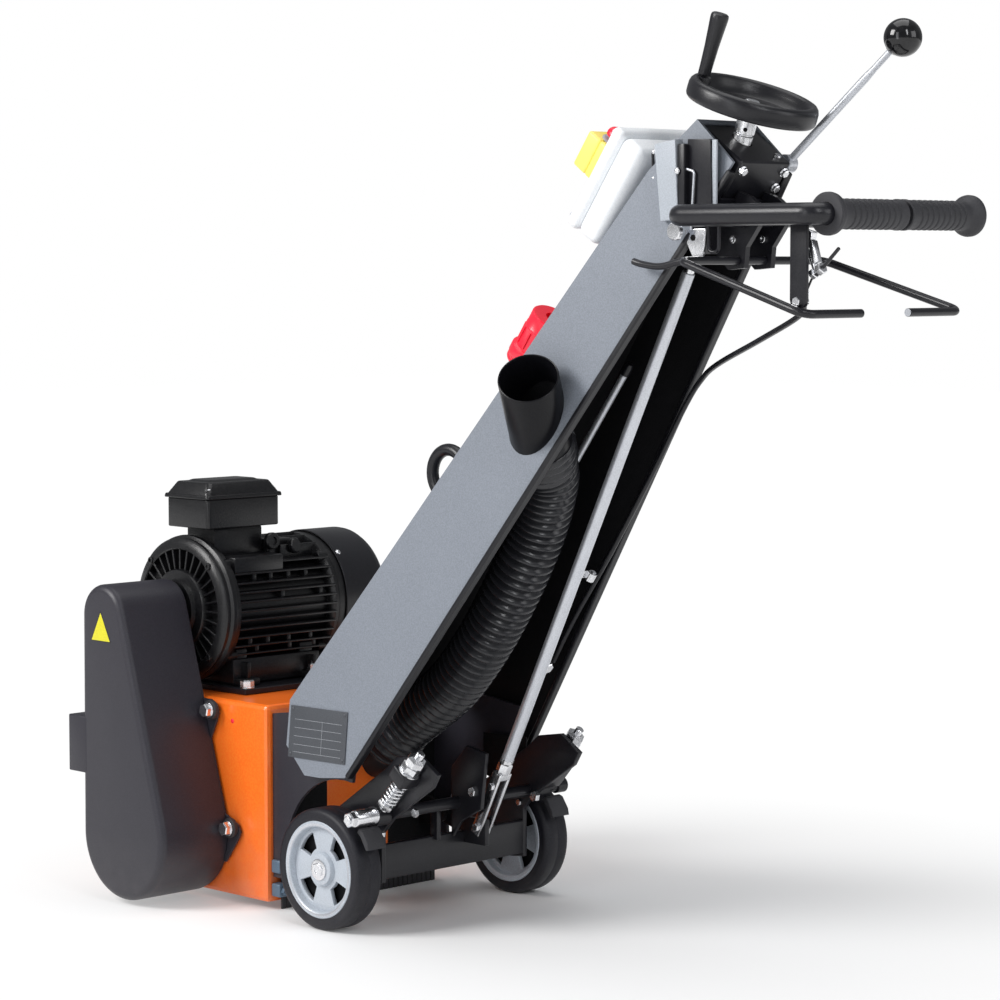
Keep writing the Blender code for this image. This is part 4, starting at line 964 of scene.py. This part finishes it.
flap.lathe([(0, -67.2), (33, -67.2), (34.2, -68.2), (34.2, -72.5), (33, -74.5), (30, -76.5), (29.2, -78),
    (0, -78)], INLET_AT, ALONG, 64)
flap.box((-0.009, 0.033, -0.0745), (0.009, 0.0372, -0.0676), 0.0015, 2, turned_like_column(INLET_AT))
flap.done()

# ---------------------------------------------------------------- handlebar, grips and hand lever
bar = Shape("handlebar_tube", "black", "frame", ("handlebar",))
bar.pipe(rounded([(-HANDLE_HALF, HANDLE_FRONT, HANDLE_Z), (-HANDLE_HALF, HANDLE_REAR, HANDLE_Z),
    (HANDLE_HALF, HANDLE_REAR, HANDLE_Z), (HANDLE_HALF, HANDLE_FRONT, HANDLE_Z)], 0.018, 10, True), 0.0125, 40,
    True)
bar.done()
for side, tag in ((-1, "left"), (1, "right")):
    grip = Shape("grip_rubber_" + tag, "rubber", "frame", ("grip_" + tag,))
    profile = [(0.013, 0.0), (0.0168, 0.0), (0.018, 0.0012), (0.018, 0.005), (0.0172, 0.0075)]
    for i in range(9):
        start = 0.015 + i * 0.0102
        profile += [(0.0172, start), (0.016, start + 0.0012), (0.016, start + 0.003), (0.0172, start + 0.0042)]
        profile += [(0.01755, start + 0.007)]
    profile += [(0.0172, 0.11), (0.0182, 0.115), (0.0215, 0.1185), (0.024, 0.122), (0.0245, 0.1245),
        (0.0243, 0.1285), (0.0232, 0.1298), (0.02, 0.13), (0.013, 0.13)]
    grip.turned(profile, (side * 0.003, HANDLE_REAR, HANDLE_Z), X * side, 64)
    grip.done()
PULL = (-0.77, 0.81)  # Y and Z of the lever's bent ends
Shape("hand_lever_bar", "black", "hand_lever", ("hand_lever",)).pipe(rounded([(-0.043, *PULL), (-0.145, *PULL),
    (-0.132, LEVER.y, LEVER.z), (0.132, LEVER.y, LEVER.z), (0.145, *PULL), (0.043, *PULL)], 0.016, 8), 0.005,
    24).done()
tips = Shape("hand_lever_tips", "bar", "hand_lever")
for side in (-1, 1):
    tips.rod((side * 0.043, *PULL), (side * 0.0424, *PULL), 0.0047)
tips.done()
Shape("hand_lever_tab", "black", "hand_lever").pipe(smooth([(-0.09, -0.571, 0.87), (-0.092, -0.54, 0.869),
    (-0.092, -0.505, 0.863), (-0.09, -0.475, 0.8655), (-0.09, -0.46, 0.869)], 6), 0.0042, 16).done()

Shape("cable_strap", "black", "frame", ("cable_bracket",)).plate([(-0.765, 0.826), (-0.763, 0.819),
    (-0.758, 0.8145), (-0.753, 0.8142), (-0.748, 0.8145), (-0.743, 0.819), (-0.741, 0.826), (-0.741, 0.93),
    (-0.765, 0.93)], 0.005, side_plane(-0.1325), (), 0.0008).done()

# Cable end: clevis, lock nuts, adjuster, and then the cable itself
clevis = Shape("cable_fittings", "zinc")
clevis.bolt((-0.135, -0.753, 0.824), -X, 0.01, 0.0045)
clevis.rod((-0.13, -0.753, 0.824), (-0.1215, -0.753, 0.824), 0.0062)
clevis.box((-0.005, -0.0085, -0.0035), (0.005, 0.0085, 0.0085), 0.0012, 2, frame_to((0.0, -0.25, 1.0),
    (-0.1225, -0.757, 0.896)))
clevis.box((-0.005, -0.0035, -0.024), (0.005, 0.0035, 0.002), 0.001, 2, frame_to((0.0, 0.3, 1.0),
    (-0.1225, -0.764, 0.89)))
clevis.bolt((-0.1225, -0.7735, 0.859), (-0.1, -0.9, 0.5), 0.0125, 0.007)
clevis.bolt((-0.1225, -0.764, 0.854), (-0.1, -0.9, 0.5), 0.011, 0.0055)
clevis.rod((-0.1225, -0.759, 0.882), (-0.1225, -0.771, 0.856), 0.004)
clevis.bolt((-0.12, -0.75, 0.831), (0.1, 0.2, 1.0), 0.011, 0.0055)
clevis.done()
wire = Shape("cable_adjuster", "plastic")
wire.rod((-0.1225, -0.768, 0.852), (-0.1225, -0.802, 0.884), 0.0021)
wire.rod((-0.1255, -0.753, 0.827), (-0.1235, -0.764, 0.85), 0.0013)
wire.done()

CABLE_R = 0.0035
cable_line = smooth([(-0.1255, -0.753, 0.826), (-0.1, -0.727, 0.808), (-0.04, -0.617, 0.777),
    (0.03, -0.49, 0.744), (0.062, -0.434, 0.722), on_column(0.078, -0.018, 0.61), on_column(0.092, -0.014, 0.5),
    on_column(0.108, -0.006, 0.36), on_column(0.122, 0.004, 0.24), on_column(0.13, 0.006, 0.16)], 4)
cable = Shape("bowden_cable_sheath", "plastic", "frame", ("bowden_cable",))
cable.pipe(smooth(cable_line, 3), CABLE_R, 16)
cable_obj = cable.done()

# ---------------------------------------------------------------- handwheel, crank and lift lever
Shape("handwheel_disc", "plastic", "handwheel", ("handwheel",), 50).lathe([(10, -8), (25, -8.8), (29, -12),
    (33, -13), (56, -13), (60, -11.5), (65, -2), (67.2, 3), (70, 5.6), (73, 6), (76.2, 4.8), (78.5, 2.2),
    (79.8, -2), (80, -9), (79.9, -14), (79, -16.5), (77, -18.4), (74, -19.2), (60, -20), (30, -20), (24, -20.5),
    (22.5, -22.5), (21.8, -26.5), (20.5, -28), (10, -28)], WHEEL_AT, WHEEL_AXIS, 128).done()
GRIP_FOOT = WHEEL_AT - 0.034 * X + 0.0555 * Vector((0.0, math.cos(WHEEL_LEAN), math.sin(WHEEL_LEAN)))
Shape("handwheel_boss", "plastic", "handwheel").lathe([(0, -13.5), (11, -13.5), (10.2, 3), (9.4, 5.2), (0, 6)],
    GRIP_FOOT, WHEEL_AXIS, 40).done()
Shape("depth_spindle", "zinc", "handwheel", ("wheel_spindle",)).lathe([(0, -5.5), (8, -5.5), (9.5, -6.8),
    (9.5, -29), (11.8, -29), (12.5, -29.8), (12.5, -45.2), (11.7, -46), (10.5, -46.2), (10.5, -47.8),
    (11.7, -48), (12.5, -48.8), (12.5, -61.2), (11.8, -62), (8, -62), (8, -115), (0, -115)], WHEEL_AT,
    WHEEL_AXIS, 48).done()
# Painted shade: a thin black disc on the spindle collar stands in for the shaded cross hole
hole = Shape("depth_spindle_hole_shade", "inner", "handwheel")
hole_axis = Vector((-0.72, -0.69, 0.0)).normalized()
hole_axis = (hole_axis - WHEEL_AXIS * hole_axis.dot(WHEEL_AXIS)).normalized()
collar_mid = WHEEL_AT - 0.0395 * WHEEL_AXIS
hole.rod(collar_mid + hole_axis * 0.0115, collar_mid + hole_axis * 0.01265, 0.0026, 24, 0.0001)
hole.done()
Shape("crank_handle", "plastic", "crank_grip", ("crank_grip",)).lathe([(0, 6.8), (6.8, 6.8), (7.6, 7.8),
    (7.8, 20), (8.6, 42), (10.1, 64), (10.9, 75), (11, 78.5), (10.4, 81.5), (8.5, 82.8), (0, 83)], GRIP_FOOT,
    WHEEL_AXIS, 48).done()
Shape("crank_screw", "ball", "crank_grip").dome(GRIP_FOOT + 0.0826 * WHEEL_AXIS, WHEEL_AXIS, 0.005,
    0.0004).done()

lever_dir = (BALL_AT - LIFT_PIVOT).normalized()
LEVER_LENGTH = (BALL_AT - LIFT_PIVOT).length - 0.019
rod_piece = Shape("lift_lever_rod", "bar", "lift_lever", ("lift_lever",))
rod_piece.turned([(0, 0.006), (0.005, 0.006), (0.005, 0.15), (0.0046, 0.158), (0.004, 0.166),
    (0.004, LEVER_LENGTH), (0, LEVER_LENGTH)], LIFT_PIVOT, lever_dir, 32)
rod_piece.lathe([(0, 0), (10, 0), (11, 1), (11, 15), (10, 16), (0, 16)], (0.055, LIFT_PIVOT.y, LIFT_PIVOT.z), X,
    40)
rod_piece.done()
ball = Shape("lift_lever_ball", "ball", "lift_lever", ("lever_ball",), 60)
BALL_R = 0.0225
ball_profile = [(0.0056, -0.0222), (0.0072, -0.0222)]
for k in range(36):
    t = math.radians(-66 + 156 * k / 35)
    ball_profile.append((BALL_R * math.cos(t), BALL_R * math.sin(t)))
ball_profile[-1] = (0, BALL_R)
ball.turned([(0, -0.0222), *ball_profile], BALL_AT, lever_dir, 64)
ball.done()

# ---------------------------------------------------------------- lift rod, fork and guide rod
rod_dir = (ROD_TOP - FORK_PIN).normalized()
fork_side = (X - rod_dir * rod_dir.x).normalized()
fork_back = rod_dir.cross(fork_side).normalized()
FORK = basis(fork_side, fork_back, rod_dir, FORK_PIN)
fork = Shape("lift_fork", "zinc", "lift_rod", ("rod_fork",))
for side in (-1, 1):
    fork.box((side * 0.00875 - 0.0022, -0.0075, -0.011), (side * 0.00875 + 0.0022, 0.0075, 0.08), 0.001, 2,
        FORK)
fork.box((-0.0109, -0.0078, 0.078), (0.0109, 0.0078, 0.088), 0.0016, 3, FORK)
fork.lathe([(0, 87), (9.2, 87), (9.8, 88), (9.8, 101), (8.8, 102.5), (0, 103)], FORK_PIN, rod_dir, 6, 0.2)
fork.lathe([(0, 102.5), (8.2, 103), (9.4, 104), (9.4, 109), (8.2, 110.2), (0, 110.5)], FORK_PIN, rod_dir, 6,
    0.5)
fork.rod(in_frame(FORK, -0.0128, 0, 0), in_frame(FORK, 0.0128, 0, 0), 0.0038)
fork.bolt(in_frame(FORK, -0.0109, 0, 0), -fork_side, 0.01, 0.004)
fork.bolt(in_frame(FORK, 0.0109, 0, 0), fork_side, 0.01, 0.004)
fork.bolt(in_frame(FORK, -0.0109, 0, 0.066), -fork_side, 0.009, 0.0035)
fork.done()
Shape("lift_rod_bar", "bar", "lift_rod", ("lift_rod",)).rod(in_frame(FORK, 0, 0, 0.106),
    ROD_TOP + 0.016 * rod_dir, 0.0082, 40).done()
Shape("lift_rod_clevis", "zinc", "lift_rod").rod(ROD_TOP + 0.0155 * rod_dir, ROD_TOP + 0.028 * rod_dir,
    0.0066).done()
GUIDE_LOW = Vector((0.05, -0.17, 0.533))
GUIDE_HIGH = Vector((0.05, -0.315, 0.726))
Shape("guide_rod", "bar").rod(GUIDE_LOW, GUIDE_HIGH, 0.0048, 32).done()
guide_cap = Shape("guide_rod_cap", "plastic")
guide_dir = (GUIDE_HIGH - GUIDE_LOW).normalized()
guide_cap.lathe([(0, 0), (5.5, 0), (6, 1), (5.8, 12), (4.2, 16.5), (0, 18)], GUIDE_HIGH, guide_dir, 32)
guide_cap.done()

# Clip that holds the cable, and a bolt, on the right flange's rear edge
clip = Shape("cable_clip", "zinc")
clip.lathe([(5.2, -6), (6.6, -6), (6.6, 6), (5.2, 6)], on_column(0.093, -0.0065, 0.3231), ALONG, 32)
clip.box((-0.011, -0.001, -0.006), (0.011, 0.0008, 0.006), 0.0004, 1, turned_like_column(on_column(0.085,
    -0.0015, 0.3231)))
clip.bolt(on_column(0.1028, -0.004, 0.1655), -FRONT, 0.015, 0.0075, 0.009)
clip.done()

# ---------------------------------------------------------------- painted shade: black lining inside the column
def painted_shade_channel():
    """Thin black channel just inside the column's front wall and flanges, painting the shade inside the
    channel.
    """
    def depth_at(s):
        return 0.142 - 0.0435 * (s - 0.011) / 0.874 if s < 0.885 else 0.0985 - 0.0205 * (s - 0.885) / 0.08

    bm = bmesh.new()
    rows = []
    for s in (0.014, 0.2, 0.4, 0.6, 0.8, 0.885, 0.962):
        w, d = half_width(s) - 0.0041, depth_at(s) - 0.0042
        row = []
        for inset in (0.0, 0.0005):
            row.append([bm.verts.new(on_column(x, y, s)) for x, y in ((-w + inset, 0.0008),
                (-w + inset, d - inset), (w - inset, d - inset), (w - inset, 0.0008))])
        rows.append(row)
    for first, second in zip(rows, rows[1:]):
        for k in range(3):
            bm.faces.new((first[0][k], first[0][k + 1], second[0][k + 1], second[0][k]))
            bm.faces.new((first[1][k + 1], first[1][k], second[1][k], second[1][k + 1]))
        for k in (0, 3):
            bm.faces.new((first[0][k], second[0][k], second[1][k], first[1][k]))
    for row in (rows[0], rows[-1]):
        for k in range(3):
            bm.faces.new((row[0][k], row[1][k], row[1][k + 1], row[0][k + 1]))
    bmesh.ops.recalc_face_normals(bm, faces=bm.faces)
    return bm


Shape("column_painted_shade_lining", "inner").take(painted_shade_channel()).done()

# ---------------------------------------------------------------- axle frame, wheels, tie rods
axle = Shape("axle_carrier", "black", "axle", ("axle_frame",))
cheek = [(0.115, 0.1), (0.112, 0.114), (0.098, 0.12), (0.06, 0.128), (0.03, 0.15), (-0.068, 0.216),
    (-0.086, 0.231), (-0.128, 0.238), (-0.163, 0.216), (-0.152, 0.198), (-0.077, 0.148), (-0.058, 0.128),
    (-0.058, 0.062), (0.0, 0.056), (0.09, 0.086), (0.108, 0.09)]
for side in (-1, 1):
    axle.plate(cheek, 0.008, side_plane(side * 0.13), [arc(0.0062, 24, AXLE_PIVOT)[::-1]], 0.0012)
    axle.rod((side * 0.128, 0, WHEEL_R), (side * 0.194, 0, WHEEL_R), 0.008)
axle.box((-0.1335, -0.0575, 0.066), (0.1335, -0.0475, 0.112), 0.002, 3)
axle.rod((-0.146, *CROSS_BAR), (0.196, *CROSS_BAR), 0.008, 40)
axle.rod((0.178, *CROSS_BAR), (0.1955, *CROSS_BAR), 0.0105, 40)
axle.box((-0.04, -0.0631, 0.107), (-0.032, -0.05, 0.153), 0.001)
axle.box((FORK_PIN.x - 0.004, FORK_PIN.y - 0.009, 0.096), (FORK_PIN.x + 0.004, -0.05, 0.131), 0.0012)
axle.plate([(-0.056, 0.105), (-0.056, 0.2), (-0.085, 0.232), (-0.122, 0.225), (-0.112, 0.15), (-0.075, 0.13)],
    0.006, side_plane(-0.004), (), 0.001)
axle.done()

TIE = Vector((0, -0.081, 0.091)).normalized()
springs = Shape("tie_springs", "zinc", "axle")
ties = Shape("tie_rods", "zinc", "axle")
blocks = Shape("tie_blocks", "black", "axle")
for side in (-1, 1):
    foot = Vector((side * 0.146, *CROSS_BAR))
    tie_frame = axes(X, TIE.cross(X), foot)
    ties.thread(foot + TIE * 0.004, foot + TIE * 0.121, 0.0056, 0.0016)
    ties.lathe([(0, 86), (14.5, 86), (15, 86.6), (15, 88), (0, 88.6)], foot, TIE, 32)
    ties.lathe([(0, 88.4), (12.6, 88.4), (13.4, 89.4), (13.4, 98.5), (12, 99.8), (0, 100)], foot, TIE, 6, 0.2)
    ties.lathe([(0, 99.8), (12, 99.8), (13, 101), (13, 109), (10.8, 110.6), (8, 112.6), (0, 113)], foot, TIE, 6,
        0.65)
    ties.lathe([(0, 64), (12.5, 64), (13, 64.6), (13, 66.4), (0, 67)], foot, TIE, 32)
    ties.lathe([(0, 18), (11.2, 18), (11.8, 19), (11.8, 25), (10.5, 26.2), (0, 26.4)], foot, TIE, 6, 0.4)
    coil = []
    for i, (a, b) in enumerate(arc(0.01, 150, span=2 * math.pi * 5.5)):
        coil.append(tie_frame @ Vector((a, b, 0.0)) + TIE * (0.0275 + 0.0355 * i / 149))
    springs.pipe(coil, 0.0016, 12)
    blocks.box((-0.0165, -0.0135, 0.0672), (0.0165, 0.0135, 0.0858), 0.0018, 3, tie_frame)
    blocks.lathe([(0, -11.5), (12.5, -11.5), (13.5, -10.5), (13.5, 10.5), (12.5, 11.5), (0, 11.5)], foot, X, 40)
# The right-hand spring, the last one drawn, runs inside a folded cover
blocks.box((-0.0165, -0.0165, 0.02), (0.0165, 0.0165, 0.069), 0.002, 3, tie_frame)
springs.done()
ties.done()
blocks.done()
sleeve = Shape("cross_bar_sleeve", "zinc", "axle")
sleeve.lathe([(0, -135), (10.8, -135), (11.2, -136), (11.2, -190), (10.4, -192), (9.8, -192.5), (0, -192.5)],
    (0, -0.068, 0.155), X, 48)
sleeve.bolt((-0.1923, -0.068, 0.155), -X, 0.018, 0.009, 0.0, 0.003)
sleeve.done()
axle_bolts = Shape("axle_bolts", "zinc", "axle")
axle_bolts.bolt((-0.1262, -0.111, 0.16), X, 0.01, 0.005)
axle_bolts.bolt((-0.1341, -0.06, 0.128), -X, 0.01, 0.005)
axle_bolts.bolt((0.1258, -0.083, 0.148), -X, 0.013, 0.006, 0.0)
axle_bolts.bolt((0.1258, -0.052, 0.136), -X, 0.008, 0.0035)
axle_bolts.bolt((-0.0071, -0.098, 0.172), -X, 0.012, 0.0045)
axle_bolts.done()
scrapers = Shape("wheel_scrapers", "rubber", "axle")
for side in (-1, 1):
    scrapers.plate([(-0.074, 0.143), (-0.08, 0.141), (-0.0905, 0.126), (-0.0925, 0.117), (-0.0875, 0.116),
        (-0.0845, 0.121), (-0.077, 0.133), (-0.071, 0.1375)], 0.032, side_plane(side * 0.169 - 0.004), (),
        0.0012)
scrapers.done()


def wheel(side, tag):
    body = "wheel_" + tag
    at, out = (side * WHEEL_X, 0, WHEEL_R), X * side
    tyre = Shape("tyre_tread_" + tag, "tyre", body, ("tyre_" + tag,), 40)
    half = [(0.0655, 0.0216), (0.068, 0.022), (0.07, 0.0215), (0.0715, 0.0218), (0.0745, 0.0214),
        (0.077, 0.0202), (0.0787, 0.0184), (0.0796, 0.016), (0.08, 0.013), (0.08, 0.0012), (0.0797, 0.0006)]
    tyre.turned([(0.0642, 0.0212), *half, *[(r, -h) for r, h in half[::-1]], (0.0642, -0.0212)], at, out, 112)
    tyre.done()
    rim = Shape("rim_disc_" + tag, "rim", body, ("rim_" + tag,), 35)
    # Outer ring, two webs with four windows each, and hub
    rim.lathe([(56.5, 20.3), (59, 21.7), (63, 21.7), (64, 20.7), (64, -20.7), (63, -21.7), (59, -21.7),
        (56.5, -20.3), (55.3, -15), (55.3, 15)], at, out, 96)
    windows = []
    for i in range(4):
        middle = math.radians(45 + 90 * i)
        windows.append([*arc(0.05, 9, (0, 0), middle - 0.36, 0.72), *arc(0.0285, 6, (0, 0), middle + 0.3,
            -0.6)][::-1])
    for depth in (0.0085, -0.0085):
        rim.plate(arc(0.056, 96), 0.007, frame_to(out, Vector(at) + out * depth), windows, 0.0012)
    rim.lathe([(8.5, 19), (17.5, 19), (20.5, 18), (21.5, 16), (22.5, 11.5), (22.5, -11.5), (21.5, -16),
        (20.5, -18), (17.5, -19), (8.5, -19)], at, out, 64)
    rim.done()
    # Painted shade: a black disc between the two webs, so the windows look dark like deep hollows
    Shape("rim_painted_shade_" + tag, "inner", body).lathe([(23, -0.6), (55, -0.6), (55, 0.6), (23, 0.6)], at, out,
        64).done()
    Shape("rim_edge_" + tag, "bar", body).lathe([(57.2, 20), (57.6, 21.2), (59, 22), (61, 22.1), (61.2, 21.2),
        (59, 20.5)], at, out, 96).done()
    nut = Shape("axle_nut_" + tag, "zinc", "axle")
    nut.lathe([(0, 19.2), (13.5, 19.2), (14, 19.7), (14, 20.5), (12, 21), (0, 21)], at, out, 48)
    nut.lathe([(0, 20.6), (9.2, 20.6), (9.8, 21.1), (9.8, 22.6), (8.8, 23.3), (5, 23.4), (4.8, 22.6),
        (0, 22.6)], at, out, 6, 0.3)
    nut.done()


wheel(-1, "left")
wheel(1, "right")

# ---------------------------------------------------------------- head of the column
head_bolts = Shape("head_bolts", "zinc")
for x, along in ((-0.037, 0.9581), (0.0385, 0.9574), (0.037, 0.9356)):
    head_bolts.bolt(on_column(x, -0.0061, along), -FRONT, 0.009, 0.0045, 0.0062)
head_bolts.socket_screw((-0.0281, -0.5649, 0.8951), -X, 0.0048, 0.0034)
head_bolts.socket_screw((0.0199, -0.5697, 0.8958), -X, 0.0048, 0.0034)
head_bolts.socket_screw(on_column(0.03, 0.006, 0.9702), ALONG, 0.0045, 0.0032)
head_bolts.lathe([(0, 0), (9.8, 0), (10.8, 1), (10.8, 6), (9.4, 7.2), (0, 7.4)], (-0.079, -0.5196, 0.9045), -X,
    40)
head_bolts.dome((-0.0602, -0.4649, 1.0), -X, 0.003, 0.002)
head_bolts.dome((-0.0602, -0.4651, 0.9685), -X, 0.003, 0.002)
head_bolts.dome((-0.0756, -0.5165, 0.976), -X, 0.0042, 0.0026)
head_bolts.done()
latch = Shape("head_latch", "zinc")
latch.plate([(-0.5216, 0.907), (-0.5241, 0.8928), (-0.5356, 0.8722), (-0.5511, 0.8735), (-0.5527, 0.8875),
    (-0.5543, 0.908)], 0.004, side_plane(-0.066), (), 0.0008)
latch.rod((-0.066, -0.538, 0.868), (-0.066, -0.542, 0.859), 0.0045)
latch.done()
# Painted shade: a thin black hexagon stands in for the shaded hollow of the latch's socket
Shape("head_latch_socket_shade", "inner").lathe([(0, 0), (4.2, 0), (4.2, 0.4), (0, 0.4)], (-0.068, -0.5355, 0.897),
    -X, 6).done()
side_box = Shape("head_side_box", "black")
side_box.plate([(-0.5242, 1.0136), (-0.5603, 1.0126), (-0.5625, 0.9361), (-0.5247, 0.9366)], 0.008,
    side_plane(-0.062), (), 0.001)
side_box.pipe(rounded([(-0.062, -0.5542, 0.93), (-0.062, -0.555, 0.88), (-0.062, -0.5708, 0.88),
    (-0.062, -0.5712, 0.91)], 0.006, 6), 0.0023, 12)
side_box.done()
Shape("head_side_strip", "lightgrey").box((-0.064, -0.568, 0.9361), (-0.061, -0.561, 1.012), 0.0006).done()
Shape("head_side_cover", "lightgrey").plate([(-0.479, 1.0085), (-0.5125, 1.0135), (-0.5175, 0.919),
    (-0.4895, 0.9165)], 0.015, side_plane(-0.068), (), 0.0012).done()
hinge = Shape("head_hinge", "plastic")
hinge.rod(on_column(-0.056, 0.109, 0.904), on_column(-0.056, 0.076, 0.861), 0.0018)
hinge.box((-0.074, -0.526, 0.92), (-0.056, -0.515, 1.008), 0.0015, 2)
hinge.done()
Shape("head_wire", "bar").pipe(rounded([(-0.069, -0.533, 0.906), (-0.069, -0.538, 0.975),
    (-0.069, -0.523, 0.979)], 0.004, 6), 0.0016, 12).done()
Shape("spindle_bearing", "zinc").lathe([(14, -72), (18.5, -72), (19, -71.5), (19, -66), (18, -65), (14, -65)],
    WHEEL_AT, WHEEL_AXIS, 40).done()
